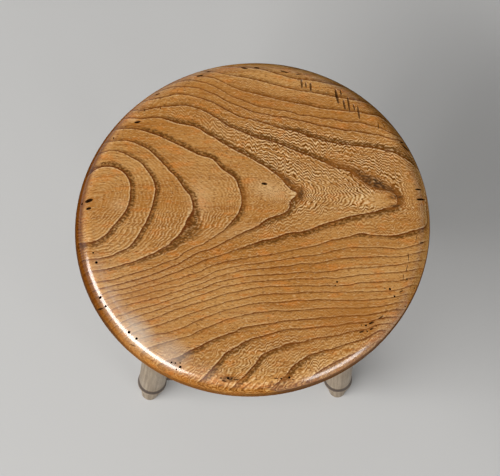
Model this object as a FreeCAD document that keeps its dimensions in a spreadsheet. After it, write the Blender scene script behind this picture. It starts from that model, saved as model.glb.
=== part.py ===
import FreeCAD, Part
import os
import Sketcher
from FreeCAD import Vector

# A low round stool of the country kind: one thick elm board on four turned legs, which three
# turned rails tie together in an H. Lengths are in millimetres and angles in degrees.
# The floor is Z = 0 with the middle of the stool over the origin. The seat's grain runs along X,
# and -Y is the front. The legs stand on the diagonals and lean outwards to the floor.

os.makedirs("parts", exist_ok=True)
doc = FreeCAD.newDocument("stool")
sheet = doc.addObject("Spreadsheet::Sheet", "Sizes")

# Driving sizes: name, value, what it is
DRIVING_SIZES = (
    ("stool_height", 300, "floor to the top of the seat"),
    ("seat_long", 330, "long diameter of the seat, which has dried slightly oval"),
    ("seat_shrink", 10.8, "how much less the board measures square to its long diameter"),
    ("seat_turn", 33.6, "angle of the long diameter from the grain"),
    ("seat_thickness", 30, "thickness of the board"),
    ("rim_round_top", 17, "radius worked on the upper edge of the board"),
    ("rim_round_under", 11, "radius worked on the lower edge of the board"),
    ("rim_top_share", 0.6, "share of the board's edge that the upper round may take at most"),
    ("leg_azimuth", 45, "angle of a leg from the grain, seen from above"),
    ("leg_inset", 46.4, "edge of the seat to the axis of a leg, at the underside"),
    ("leg_splay", 8.8, "lean of a leg from upright, straight outwards"),
    ("toe_radius", 9.8, "radius of the peg foot at the floor"),
    ("peg_radius", 10.4, "radius of the peg foot at its top"),
    ("peg_length", 32, "floor to the top of the peg foot, along the leg"),
    ("neck_radius", 9, "radius of the groove over the peg foot"),
    ("neck_length", 3, "width of that groove"),
    ("ring_radius", 16.2, "widest radius of the leg, at the ring over the foot"),
    ("ring_height", 45, "floor to the widest place, along the leg"),
    ("ring_belly", 2.4, "how far the ring's underside is rounded out from a cone"),
    ("flare_length", 8, "widest place up to the foot of the long taper, along the leg"),
    ("shaft_radius", 14.9, "radius of the long taper at its foot"),
    ("shaft_swell", 1.5, "how far the long taper is rounded out from a cone"),
    ("bead_drop", 68, "underside of the seat down to the turned bead, along the leg"),
    ("bead_section", 2.6, "radius of the bead's round section"),
    ("bead_quirk", 1.1, "radius of the small hollow on each side of the bead"),
    ("quirk_bite", 0.2, "how far each hollow cuts into the foot of the bead"),
    ("scribe_width", 2, "width of the scribed line between the flare and the taper"),
    ("scribe_depth", 0.8, "depth of that line"),
    ("foot_easing", 0.8, "radius that wear has put on the edge of the foot"),
    ("leg_tenon_radius", 11, "radius of the leg's round tenon"),
    ("seat_web", 8, "wood left over the blind sockets in the seat"),
    ("tenon_bare", 3, "length of a tenon that shows outside its socket"),
    ("wedge_length", 14, "length of the fox wedge in the leg's tenon"),
    ("wedge_thickness", 3, "thickness of the wedge at its thick end"),
    ("wedge_tip", 1, "thickness of the wedge at its thin end"),
    ("rail_height", 66, "floor to the middle of the rails"),
    ("rail_radius", 9, "radius of a side rail at its middle"),
    ("middle_rail_radius", 8.5, "radius of the middle rail at its middle"),
    ("rail_tenon_radius", 5.8, "radius of a side rail's tenon"),
    ("middle_tenon_radius", 5, "radius of the middle rail's tenon"),
    ("tenon_web", 1.2, "wood left between a rail's tenon and the axis of what holds it"),
    ("fit_gap", 0.1, "glue line round each tenon"),
    ("end_gap", 0.2, "glue space at the end of each tenon"),
    ("cut_overrun", 5, "how far a cut runs on past the wood"),
)

# Sizes that follow from the driving ones: name, formula, what it is
WORKED_SIZES = (
    ("seat_short", "=seat_long - seat_shrink", "short diameter of the seat"),
    ("seat_under", "=stool_height - seat_thickness", "height of the seat's underside"),
    ("foot_radius", "=seat_short / 2 - leg_inset + seat_under * tan(leg_splay * 1 deg)",
     "middle of the stool to the middle of a foot, on the floor"),
    ("under_along", "=seat_under / cos(leg_splay * 1 deg)", "floor to the seat, along a leg"),
    ("tenon_start", "=under_along - tenon_bare", "where the leg's tenon begins"),
    ("socket_radius", "=leg_tenon_radius + fit_gap", "radius of the leg's socket"),
    ("socket_end", "=(stool_height - seat_web - socket_radius * sin(leg_splay * 1 deg))"
     " / cos(leg_splay * 1 deg)", "bottom of the leg's socket"),
    ("tenon_end", "=socket_end - end_gap", "where the leg's tenon ends"),
    ("wedge_width", "=2 * sqrt(leg_tenon_radius ^ 2 - wedge_thickness ^ 2)",
     "width of the wedge, which stays inside the round of the tenon"),
    ("foot_spare", "=toe_radius * tan(leg_splay * 1 deg) + cut_overrun",
     "wood below the floor line that is trimmed off level"),
    ("ring_start", "=peg_length + neck_length", "where the ring's underside begins"),
    ("flare_end", "=ring_height + flare_length", "where the flare meets the long taper"),
    ("scribe_radius", "=shaft_radius - scribe_depth + scribe_width / 2",
     "axis of the leg to the middle of the scribed line's round section"),
    ("bead_height", "=under_along - bead_drop", "floor to the bead, along the leg"),
    ("quirk_step", "=bead_section + bead_quirk - quirk_bite", "bead to a hollow, along the leg"),
    ("bead_share", "=(bead_height - flare_end) / (tenon_start - flare_end)",
     "place of the bead on the long taper"),
    ("bead_radius", "=shaft_radius + (leg_tenon_radius - shaft_radius) * bead_share"
     " + 4 * shaft_swell * bead_share * (1 - bead_share)", "radius of the taper under the bead"),
    ("rail_reach", "=foot_radius - rail_height * tan(leg_splay * 1 deg)",
     "middle of the stool to a leg's axis, at the rails"),
    ("rail_along_x", "=rail_reach * cos(leg_azimuth * 1 deg)", "X of that axis"),
    ("rail_along_y", "=rail_reach * sin(leg_azimuth * 1 deg)", "Y of that axis"),
    ("rail_socket_radius", "=rail_tenon_radius + fit_gap", "radius of a side rail's socket"),
    ("rail_half", "=rail_along_x - tenon_web - end_gap", "half the length of a side rail"),
    ("rail_neck", "=rail_along_x - shaft_radius - tenon_bare", "where a side rail's tenon begins"),
    ("rail_swell", "=rail_radius - rail_tenon_radius", "rise of a side rail's long curve"),
    ("middle_socket_radius", "=middle_tenon_radius + fit_gap", "radius of its sockets"),
    ("middle_half", "=rail_along_y - tenon_web - end_gap", "half the length of the middle rail"),
    ("middle_neck", "=rail_along_y - rail_radius - tenon_bare", "where its tenon begins"),
    ("middle_swell", "=middle_rail_radius - middle_tenon_radius", "rise of its long curve"),
)

for row, (name, value, note) in enumerate(DRIVING_SIZES + WORKED_SIZES, start=1):
    sheet.set(f"A{row}", name)
    sheet.set(f"B{row}", str(value))
    sheet.set(f"C{row}", note)
    sheet.setAlias(f"B{row}", name)
doc.recompute()

# The frame of a leg, for a sketch on the XZ plane: its origin is the middle of the foot on the
# floor and its upright axis is the axis of the leg, which leans back towards the middle.
LEG_FRAME = "placement(vector(Sizes.foot_radius; 0; 0); rotation(vector(0; 0; 1); Sizes.leg_splay))"
TURN_UPRIGHT = "placement(vector(0; 0; 0); rotation(vector(0; 1; 0); {}))"
# The place of a piece that is drawn over the X axis and then swung round the stool's middle
SPUN = "placement(vector(0; 0; 0); rotation(vector(0; 0; 1); {}))"

# Where each leg stands, its azimuth, and 1 where its rail leaves to the left, seen from the
# middle of the stool, or -1 where it leaves to the right
LEG_PLACES = (
    ("front_left", "(180 + Sizes.leg_azimuth)", 1),
    ("front_right", "(360 - Sizes.leg_azimuth)", -1),
    ("back_right", "Sizes.leg_azimuth", 1),
    ("back_left", "(180 - Sizes.leg_azimuth)", -1),
)


def sketch_on(body, name, role, frame=None):
    """Adds a sketch on one of the body's own origin planes, moved there by frame."""
    sketch = body.newObject("Sketcher::SketchObject", name)
    plane = [item for item in body.Origin.OriginFeatures if item.Role == role][0]
    sketch.AttachmentSupport = [(plane, "")]
    sketch.MapMode = "FlatFace"
    if frame:
        sketch.setExpression("AttachmentOffset", frame)
    doc.recompute()
    return sketch


def hold(sketch, kind, geometry, point, expression):
    """Ties a point's X or Y to an expression, or puts it on the axis where that is zero."""
    if expression == "0":
        axis = -2 if kind == "DistanceX" else -1
        sketch.addConstraint(Sketcher.Constraint("PointOnObject", geometry, point, axis))
        return
    value = float(sketch.evalExpression(expression))
    index = sketch.addConstraint(Sketcher.Constraint(kind, -1, 1, geometry, point, value))
    sketch.setExpression(f"Constraints[{index}]", expression)


def draw(sketch, corners, bulges=None):
    """Draws a closed loop, counter-clockwise, through corners given as pairs of expressions.

    bulges gives, by the number of a corner, how far the edge that leaves it stands out as an
    arc from the straight line to the next corner.
    """
    bulges = bulges or {}
    spots = [Vector(float(sketch.evalExpression(x)), float(sketch.evalExpression(y)), 0)
             for x, y in corners]
    starts = []
    ends = []
    for number, here in enumerate(spots):
        following = (number + 1) % len(spots)
        there = spots[following]
        if number in bulges:
            bulge = float(sketch.evalExpression(bulges[number]))
            along = (there - here).normalize()
            crown = (here + there) / 2 + Vector(along.y, -along.x, 0) * bulge
            edge = sketch.addGeometry(Part.Arc(here, crown, there))
            run = [f"(({corners[following][axis]}) - ({corners[number][axis]}))" for axis in (0, 1)]
            radius = f"({run[0]}^2 + {run[1]}^2) / (8 * {bulges[number]}) + {bulges[number]} / 2"
            value = float(sketch.evalExpression(radius))
            index = sketch.addConstraint(Sketcher.Constraint("Radius", edge, value))
            sketch.setExpression(f"Constraints[{index}]", radius)
            forward = sketch.getPoint(edge, 1).distanceToPoint(here) < sketch.getPoint(
                edge, 2).distanceToPoint(here)
        else:
            edge = sketch.addGeometry(Part.LineSegment(here, there))
            forward = True
        starts.append((edge, 1 if forward else 2))
        ends.append((edge, 2 if forward else 1))
    for number, (edge, point) in enumerate(starts):
        sketch.addConstraint(Sketcher.Constraint("Coincident", *ends[number - 1], edge, point))
        hold(sketch, "DistanceX", edge, point, corners[number][0])
        hold(sketch, "DistanceY", edge, point, corners[number][1])
    doc.recompute()


def spin(body, name, sketch, axis, cut):
    """Spins a sketch about one of its own axes, as new wood or as a cut."""
    kind = "PartDesign::Groove" if cut else "PartDesign::Revolution"
    feature = body.newObject(kind, name)
    feature.Profile = sketch
    feature.ReferenceAxis = (sketch, [axis])
    feature.Angle = 360
    doc.recompute()
    return feature


def turn(body, name, role, corners, bulges=None, frame=None, axis="V_Axis", cut=False):
    """Draws a section and spins it."""
    sketch = sketch_on(body, f"{name}_section", role, frame)
    draw(sketch, corners, bulges)
    return spin(body, name, sketch, axis, cut)


def new_body(name):
    """Starts a piece, whose label is the name of its file."""
    body = doc.addObject("PartDesign::Body", name)
    body.Label = name
    return body


def outer_edge(shape, highest):
    """Names the highest or the lowest of a shape's level edges."""
    numbered = list(enumerate(shape.Edges, start=1))
    if highest:
        number = max(numbered, key=lambda pair: pair[1].BoundBox.ZMin)[0]
    else:
        number = min(numbered, key=lambda pair: pair[1].BoundBox.ZMax)[0]
    return f"Edge{number}"


def make_seat():
    """The board: an oval disc with rounded edges and four blind sockets in its underside."""
    body = new_body("seat")
    lift = "placement(vector(0; 0; Sizes.seat_under); rotation(vector(0; 0; 1); Sizes.seat_turn))"
    outline = sketch_on(body, "board_outline", "XY_Plane", lift)
    half_long = sheet.seat_long / 2
    half_short = sheet.seat_short / 2
    oval = outline.addGeometry(Part.Ellipse(Vector(0, 0, 0), half_long, half_short))
    outline.exposeInternalGeometry(oval)
    long_line = oval + 1
    short_line = oval + 2
    outline.addConstraint(Sketcher.Constraint("Coincident", oval, 3, -1, 1))
    outline.addConstraint(Sketcher.Constraint("PointOnObject", long_line, 1, -1))
    for line, name in ((long_line, "seat_long"), (short_line, "seat_short")):
        index = outline.addConstraint(Sketcher.Constraint("Distance", line, sheet.get(name)))
        outline.setExpression(f"Constraints[{index}]", f"Sizes.{name}")
    board = body.newObject("PartDesign::Pad", "board")
    board.Profile = outline
    board.setExpression("Length", "Sizes.seat_thickness")
    doc.recompute()

    # The fillets are held to their share of the board's edge
    upper = body.newObject("PartDesign::Fillet", "rim_top")
    upper.Base = (board, [outer_edge(board.Shape, True)])
    upper.setExpression("Radius", "min(Sizes.rim_round_top; Sizes.seat_thickness * Sizes.rim_top_share)")
    doc.recompute()
    lower = body.newObject("PartDesign::Fillet", "rim_under")
    lower.Base = (upper, [outer_edge(upper.Shape, False)])
    under_share = "Sizes.seat_thickness * (1 - Sizes.rim_top_share) - Sizes.fit_gap"
    lower.setExpression("Radius", f"min(Sizes.rim_round_under; {under_share})")
    doc.recompute()

    start = "Sizes.under_along - Sizes.cut_overrun"
    for place, azimuth, hand in LEG_PLACES:
        turn(body, f"leg_socket_{place}", "XZ_Plane",
             (("0", start),
              ("Sizes.socket_radius", start),
              ("Sizes.socket_radius", "Sizes.socket_end"),
              ("0", "Sizes.socket_end")),
             frame=TURN_UPRIGHT.format(azimuth) + " * " + LEG_FRAME, cut=True)
    return body


def spin_circle(body, name, radius, height, section, cut=False):
    """Spins a small circle about a leg's axis: a raised bead, or a hollow where it cuts."""
    sketch = sketch_on(body, f"{name}_section", "XZ_Plane", LEG_FRAME)
    middle = Vector(*[float(sketch.evalExpression(size)) for size in (radius, height)], 0)
    size = float(sketch.evalExpression(section))
    circle = sketch.addGeometry(Part.Circle(middle, Vector(0, 0, 1), size))
    hold(sketch, "DistanceX", circle, 3, radius)
    hold(sketch, "DistanceY", circle, 3, height)
    index = sketch.addConstraint(Sketcher.Constraint("Radius", circle, size))
    sketch.setExpression(f"Constraints[{index}]", section)
    return spin(body, name, sketch, "V_Axis", cut)


def wedge_section(body, name, grain_turn):
    """The fox wedge's taper: thin end down the leg, thick end flush with the tenon."""
    frame = LEG_FRAME + " * " + TURN_UPRIGHT.format(grain_turn)
    sketch = sketch_on(body, name, "XZ_Plane", frame)
    draw(sketch,
         (("-Sizes.wedge_tip / 2", "Sizes.tenon_end - Sizes.wedge_length"),
          ("Sizes.wedge_tip / 2", "Sizes.tenon_end - Sizes.wedge_length"),
          ("Sizes.wedge_thickness / 2", "Sizes.tenon_end"),
          ("-Sizes.wedge_thickness / 2", "Sizes.tenon_end")))
    return sketch


def extrude(body, name, sketch, length, kind, both_ways=True):
    """Pads or pockets a sketch, evenly to both sides of its plane or to one side only."""
    feature = body.newObject(kind, name)
    feature.Profile = sketch
    feature.setExpression("Length", length)
    if both_ways:
        feature.SideType = "Symmetric"
    doc.recompute()
    return feature


def make_leg(place, azimuth, hand):
    """A leg, turned in one piece: peg foot, ring with its flare, long taper, bead and tenon."""
    body = new_body(f"leg_{place}")
    body.setExpression("Placement", SPUN.format(azimuth))
    turn(body, f"turning_{place}", "XZ_Plane",
         (("0", "-Sizes.foot_spare"),
          ("Sizes.toe_radius", "-Sizes.foot_spare"),
          ("Sizes.peg_radius", "Sizes.peg_length"),
          ("Sizes.neck_radius", "Sizes.peg_length"),
          ("Sizes.neck_radius", "Sizes.ring_start"),
          ("Sizes.ring_radius", "Sizes.ring_height"),
          ("Sizes.shaft_radius", "Sizes.flare_end"),
          ("Sizes.leg_tenon_radius", "Sizes.tenon_start"),
          ("Sizes.leg_tenon_radius", "Sizes.tenon_end"),
          ("0", "Sizes.tenon_end")),
         bulges={4: "Sizes.ring_belly", 6: "Sizes.shaft_swell"},
         frame=LEG_FRAME)
    spin_circle(body, f"bead_{place}", "Sizes.bead_radius", "Sizes.bead_height",
                "Sizes.bead_section")
    for side, sign in (("under", "-"), ("over", "+")):
        spin_circle(body, f"quirk_{side}_{place}", "Sizes.bead_radius",
                    f"Sizes.bead_height {sign} Sizes.quirk_step", "Sizes.bead_quirk", cut=True)
    spin_circle(body, f"scribe_{place}", "Sizes.scribe_radius", "Sizes.flare_end",
                "Sizes.scribe_width / 2", cut=True)

    # The foot is sawn level with the floor, and its edge has worn round
    floor = sketch_on(body, f"floor_{place}", "XY_Plane")
    near = "Sizes.foot_radius - Sizes.ring_radius"
    far = "Sizes.foot_radius + Sizes.ring_radius"
    draw(floor, ((near, "-Sizes.ring_radius"), (far, "-Sizes.ring_radius"),
                 (far, "Sizes.ring_radius"), (near, "Sizes.ring_radius")))
    levelled = extrude(body, f"levelling_{place}", floor, "Sizes.foot_spare * 2",
                       "PartDesign::Pocket", both_ways=False)
    worn = body.newObject("PartDesign::Fillet", f"worn_foot_{place}")
    worn.Base = (levelled, [outer_edge(levelled.Shape, False)])
    worn.setExpression("Radius", "Sizes.foot_easing")
    doc.recompute()

    # The rail's blind socket is level, and points along or across the grain
    level = ("placement(vector(Sizes.rail_reach; 0; Sizes.rail_height);"
             f" rotation(vector(0; 0; 1); {hand} * (180 - Sizes.leg_azimuth)))")
    turn(body, f"rail_socket_{place}", "XY_Plane",
         (("Sizes.tenon_web", "0"),
          ("Sizes.ring_radius + Sizes.cut_overrun", "0"),
          ("Sizes.ring_radius + Sizes.cut_overrun", "Sizes.rail_socket_radius"),
          ("Sizes.tenon_web", "Sizes.rail_socket_radius")),
         frame=level, axis="H_Axis", cut=True)

    # The tenon is split for its wedge, square to the grain of the seat
    split = wedge_section(body, f"split_{place}", f"{-hand} * Sizes.leg_azimuth")
    extrude(body, f"tenon_split_{place}", split, "4 * Sizes.leg_tenon_radius",
            "PartDesign::Pocket")
    return body


def make_wedge(place, azimuth, hand):
    """The fox wedge that the blind socket's end drives into the leg's tenon."""
    body = new_body(f"tenon_wedge_{place}")
    body.setExpression("Placement", SPUN.format(azimuth))
    sketch = wedge_section(body, f"wedge_taper_{place}", f"{-hand} * Sizes.leg_azimuth")
    extrude(body, f"wedge_{place}", sketch, "Sizes.wedge_width", "PartDesign::Pad")
    return body


def make_rail(name, half, neck, tenon_radius, swell, place):
    """A rail, turned on its own X axis: one long swelling curve between two tenons."""
    body = new_body(name)
    body.setExpression("Placement", place)
    turn(body, f"{name}_turning", "XY_Plane",
         ((f"-{half}", "0"),
          (half, "0"),
          (half, tenon_radius),
          (neck, tenon_radius),
          (f"-{neck}", tenon_radius),
          (f"-{half}", tenon_radius)),
         bulges={3: swell}, axis="H_Axis")
    return body


def make_side_rail(name, y_sign, turned):
    """A side rail, with the blind socket for the middle rail on its inner side."""
    place = (f"placement(vector(0; {y_sign} * Sizes.rail_along_y; Sizes.rail_height);"
             f" rotation(vector(0; 0; 1); {turned}))")
    body = make_rail(name, "Sizes.rail_half", "Sizes.rail_neck", "Sizes.rail_tenon_radius",
                     "Sizes.rail_swell", place)
    turn(body, f"{name}_socket", "XY_Plane",
         (("0", "Sizes.tenon_web"),
          ("Sizes.middle_socket_radius", "Sizes.tenon_web"),
          ("Sizes.middle_socket_radius", "Sizes.rail_radius + Sizes.cut_overrun"),
          ("0", "Sizes.rail_radius + Sizes.cut_overrun")),
         cut=True)
    return body


pieces = [make_seat()]
pieces += [make_leg(*place) for place in LEG_PLACES]
pieces += [make_wedge(*place) for place in LEG_PLACES]
pieces.append(make_side_rail("rail_front", -1, 0))
pieces.append(make_side_rail("rail_back", 1, 180))
pieces.append(make_rail("rail_middle", "Sizes.middle_half", "Sizes.middle_neck",
                        "Sizes.middle_tenon_radius", "Sizes.middle_swell",
                        "placement(vector(0; 0; Sizes.rail_height);"
                        " rotation(vector(0; 0; 1); 90))"))

doc.recompute()
for item in doc.Objects:
    if "Invalid" in item.State or "Error" in item.State:
        raise RuntimeError(f"{item.Label} did not build: {item.State}")
for piece in pieces:
    shape = piece.Shape
    if shape.isNull() or not shape.isValid() or len(shape.Solids) != 1:
        raise RuntimeError(f"{piece.Label} is not one sound solid")
for piece in pieces:
    piece.Shape.exportStep(f"parts/{piece.Label}.step")
    print(f"{piece.Label}: {piece.Shape.Volume / 1000:.1f} cubic centimetres")
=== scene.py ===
# %% [markdown]
# # A low country stool with an elm seat
#
# The stool is one thick round board of elm on four turned legs, and three turned rails tie the legs
# together in an H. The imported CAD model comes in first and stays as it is: it is the frame that
# every piece here is fitted to. Lengths are in metres, the floor is z = 0, the grain of the seat
# runs along X and the front is -Y.

from math import cos, pi, radians, sin

import bmesh
import bpy
import numpy as np
from mathutils import Matrix, Vector, noise


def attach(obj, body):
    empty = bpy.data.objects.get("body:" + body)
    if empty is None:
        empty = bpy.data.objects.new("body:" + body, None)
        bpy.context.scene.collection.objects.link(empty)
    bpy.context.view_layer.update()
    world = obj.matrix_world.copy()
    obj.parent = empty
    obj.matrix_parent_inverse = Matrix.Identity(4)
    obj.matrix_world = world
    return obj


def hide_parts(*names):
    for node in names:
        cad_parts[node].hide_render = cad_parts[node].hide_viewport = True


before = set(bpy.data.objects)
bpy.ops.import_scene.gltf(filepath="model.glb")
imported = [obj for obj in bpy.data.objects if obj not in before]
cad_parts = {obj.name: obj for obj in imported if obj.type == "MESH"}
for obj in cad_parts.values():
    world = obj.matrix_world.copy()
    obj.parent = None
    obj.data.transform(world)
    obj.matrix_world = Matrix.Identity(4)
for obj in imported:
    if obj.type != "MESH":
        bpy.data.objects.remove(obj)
bpy.context.view_layer.update()

# %% [markdown]
# ## The camera
#
# The outline of a round seat is an ellipse in a picture. Its shape gives the height of the camera
# above the floor, and the places of the two front feet give its distance and its turn. A camera
# could be moved by hand until it looks right, but numbers that were solved from the picture let
# every mark on the seat be placed by its pixel later on.

# %% The camera
PHOTO_WIDTH_PX = 500
PHOTO_HEIGHT_PX = 476
CAMERA_AIM = Vector((-0.0042, -0.0173, 0.285))
CAMERA_DISTANCE = 0.850
CAMERA_ELEVATION = 71.18
CAMERA_TURN = -8.95
CAMERA_ROLL = 8.18
CAMERA_FOCAL_PX = 931.3
SENSOR_WIDTH_MM = 36

view_turn = (Matrix.Rotation(radians(CAMERA_TURN), 4, "Z")
             @ Matrix.Rotation(radians(90 - CAMERA_ELEVATION), 4, "X")
             @ Matrix.Rotation(radians(CAMERA_ROLL), 4, "Z"))
view_right, view_up, view_back = [view_turn.to_3x3().col[axis] for axis in range(3)]
view_point = CAMERA_AIM + view_back * CAMERA_DISTANCE

camera_data = bpy.data.cameras.new("camera")
camera_data.sensor_width = SENSOR_WIDTH_MM
camera_data.lens = SENSOR_WIDTH_MM * CAMERA_FOCAL_PX / PHOTO_WIDTH_PX
camera = bpy.data.objects.new("camera", camera_data)
camera.matrix_world = Matrix.Translation(view_point) @ view_turn
bpy.context.scene.collection.objects.link(camera)
bpy.context.scene.camera = camera
print(f"Lens {camera_data.lens:.1f} mm at", [round(value, 3) for value in view_point])

# %% [markdown]
# ## Floor and light
#
# The floor is plain and pale. The seat shows a long bright line on its rounded edge at the left and
# a fainter one at the lower right, so the light comes from two windows: a large one far off at the
# left, and a weak and low one at the right front. A sun or a point lamp would give a small hot spot,
# where a rectangular area light reflects as such a soft-edged line. The rest of the light comes
# softly from all round. The ceiling is dark, because the waxed seat mirrors it and a bright one
# would lay a grey film over the brown. Only one small patch of it glows, over the back left.


# %% A helper for colours
def colour(red, green, blue):
    """A colour as a picture shows it, from 0 to 255, turned into the linear values of a shader."""
    values = [value / 255 for value in (red, green, blue)]
    return [value / 12.92 if value < 0.04045 else ((value + 0.055) / 1.055) ** 2.4
            for value in values] + [1]


print("Middle grey is", round(colour(128, 128, 128)[0], 3), "to a shader")


# %% A helper for finished meshes
def new_piece(name, shape):
    """Makes an object from a bmesh. The object stays at the origin: its place is in its mesh."""
    mesh = bpy.data.meshes.new(name)
    shape.to_mesh(mesh)
    shape.free()
    piece = bpy.data.objects.new(name, mesh)
    bpy.context.scene.collection.objects.link(piece)
    return piece


print("Pieces can be made")

# %% The floor
FLOOR_HALF = 4.0
FLOOR_COLOUR = colour(186, 185, 183)
FLOOR_ROUGHNESS = 0.75

shape = bmesh.new()
bmesh.ops.create_grid(shape, x_segments=1, y_segments=1, size=FLOOR_HALF)
floor = new_piece("floor", shape)
floor_finish = bpy.data.materials.new("floor_finish")
floor_finish.use_nodes = True
floor_shader = floor_finish.node_tree.nodes["Principled BSDF"]
floor_shader.inputs["Base Color"].default_value = FLOOR_COLOUR
floor_shader.inputs["Roughness"].default_value = FLOOR_ROUGHNESS
floor.data.materials.append(floor_finish)
print("Floor:", FLOOR_HALF * 2, "m square")

# %% The windows
WINDOWS = (
    # name, azimuth and elevation in degrees, distance, width and height in metres, watts
    ("window_left", -152, 35, 6.0, 6.6, 2.10, 605),
    ("window_right", -52, 7, 3.0, 1.4, 1.00, 34),
    ("ceiling_patch", 137, 75, 3.0, 0.45, 0.35, 1.0),
)


def add_window(name, azimuth, elevation, distance, width, height, watts):
    """Hangs a soft rectangular light that faces the middle of the seat."""
    towards = Vector((cos(radians(elevation)) * cos(radians(azimuth)),
                      cos(radians(elevation)) * sin(radians(azimuth)),
                      sin(radians(elevation))))
    light = bpy.data.lights.new(name, "AREA")
    light.shape = "RECTANGLE"
    light.size = width
    light.size_y = height
    light.energy = watts
    lamp = bpy.data.objects.new(name, light)
    turned = towards.to_track_quat("Z", "Y").to_matrix().to_4x4()
    lamp.matrix_world = Matrix.Translation(CAMERA_AIM + towards * distance) @ turned
    bpy.context.scene.collection.objects.link(lamp)


for window in WINDOWS:
    add_window(*window)
print("Lights:", ", ".join(window[0] for window in WINDOWS))

# %% The soft light of the room
ROOM_COLOUR = colour(238, 239, 240)
WALLS_STRENGTH = 0.44
CEILING_STRENGTH = 0.04
WALLS_END = 0.45
CEILING_START = 0.85

world = bpy.data.worlds.new("soft_room")
world.use_nodes = True
room = world.node_tree
room_light = room.nodes["Background"]
room_light.inputs["Color"].default_value = ROOM_COLOUR
looking = room.nodes.new("ShaderNodeTexCoord").outputs["Generated"]
upwards = room.nodes.new("ShaderNodeSeparateXYZ")
room.links.new(looking, upwards.inputs[0])
walls = room.nodes.new("ShaderNodeMapRange")
walls.interpolation_type = "SMOOTHSTEP"
room.links.new(upwards.outputs["Z"], walls.inputs["Value"])
for name, value in (("From Min", WALLS_END), ("From Max", CEILING_START),
                    ("To Min", WALLS_STRENGTH), ("To Max", CEILING_STRENGTH)):
    walls.inputs[name].default_value = value
room.links.new(walls.outputs["Result"], room_light.inputs["Strength"])
bpy.context.scene.world = world
bpy.context.scene.view_settings.view_transform = "Standard"
print(f"Room light: {WALLS_STRENGTH} at the walls, {CEILING_STRENGTH} at the ceiling")

# %% [markdown]
# ## The seat board
#
# A turner would clamp the board, cut its outline and round its edges, so the quickest true shape is
# a section spun round an axis. The board has dried since, and boards shrink across the grain, so
# the round is then squeezed into a slight oval. A subdivided cylinder would do too, but a spun
# section gives exact radii, and rings of points that are close enough together to carry the
# pattern of the growth rings.

# %% Sizes of the board
SEAT_LONG = 0.330
SEAT_SHORT = 0.3192
SEAT_TURN = 33.6
SEAT_TOP = 0.300
SEAT_UNDER = 0.270
RIM_ROUND_TOP = 0.017
RIM_ROUND_UNDER = 0.011
RIM_SLACK = 0.0002
TOP_STEP = 0.0021
UNDER_STEP = 0.0042
SEAT_SPIN_STEPS = 384
ARC_STEP = 7

seat_half = SEAT_LONG / 2 - RIM_SLACK
seat_flat = seat_half - RIM_ROUND_TOP
seat_flat_under = seat_half - RIM_ROUND_UNDER
oval = (Matrix.Rotation(radians(SEAT_TURN), 4, "Z")
        @ Matrix.Diagonal((1, SEAT_SHORT / SEAT_LONG, 1, 1)))
print(f"Board {SEAT_LONG:.3f} by {SEAT_SHORT:.4f} m, {SEAT_TOP - SEAT_UNDER:.3f} m thick")


# %% Helpers for turned pieces
SAME_POINT = 1e-6


def spun(outline, steps):
    """Spins an outline of (radius, height) points about Z into a closed shape."""
    shape = bmesh.new()
    points = [shape.verts.new((radius, 0, height)) for radius, height in outline]
    lines = [shape.edges.new(pair) for pair in zip(points, points[1:])]
    bmesh.ops.spin(shape, geom=points + lines, cent=(0, 0, 0), axis=(0, 0, 1), angle=2 * pi,
                   steps=steps, use_merge=True)
    bmesh.ops.remove_doubles(shape, verts=shape.verts, dist=SAME_POINT)
    bmesh.ops.recalc_face_normals(shape, faces=shape.faces)
    return shape


def rounded(middle, radius, start, end, step=ARC_STEP):
    """Points of an arc in an outline, from one angle to the other, ends included."""
    count = max(1, round(abs(end - start) / step))
    angles = [radians(start + (end - start) * number / count) for number in range(count + 1)]
    return [(middle[0] + radius * cos(angle), middle[1] + radius * sin(angle))
            for angle in angles]


def stepped(start, end, step):
    """Evenly spaced values from start to end, without the end."""
    count = max(1, round(abs(end - start) / step))
    return [start + (end - start) * number / count for number in range(count)]


print("A quarter round takes", len(rounded((0, 0), RIM_ROUND_TOP, 90, 0)), "points")

# %% The board's section, spun
board_outline = [(radius, SEAT_TOP) for radius in stepped(0, seat_flat, TOP_STEP)]
board_outline += rounded((seat_flat, SEAT_TOP - RIM_ROUND_TOP), RIM_ROUND_TOP, 90, 0)
board_outline += [(seat_half, (SEAT_TOP - RIM_ROUND_TOP + SEAT_UNDER + RIM_ROUND_UNDER) / 2)]
board_outline += rounded((seat_flat_under, SEAT_UNDER + RIM_ROUND_UNDER), RIM_ROUND_UNDER, 0, -90)
board_outline += [(seat_flat_under - radius, SEAT_UNDER)
                  for radius in stepped(UNDER_STEP, seat_flat_under, UNDER_STEP)]
board_outline += [(0, SEAT_UNDER)]

board = spun(board_outline, SEAT_SPIN_STEPS)
bmesh.ops.transform(board, matrix=oval, verts=board.verts)
print(f"Spun section: {len(board_outline)} points, {len(board.faces)} faces")

# %% [markdown]
# ## Marks on the board
#
# Old elm has worm holes of 1 to 3 mm, and this board keeps a few short cuts from the tool that
# smoothed its edge. Such small things could be painted in the material, but a hole that is really
# cut has a rim that catches the light. Each mark is given by its pixel in the picture, and a line
# from the camera through that pixel finds its place on the board.


# %% From a pixel to the board
ROUNDS_TO_BOARD = 4


def board_height(x, y):
    """Height of the board's upper surface over a point."""
    flat = oval.inverted() @ Vector((x, y, 0))
    beyond = min(max(0.0, flat.to_2d().length - seat_flat), RIM_ROUND_TOP)
    return SEAT_TOP - RIM_ROUND_TOP + (RIM_ROUND_TOP ** 2 - beyond ** 2) ** 0.5


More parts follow.
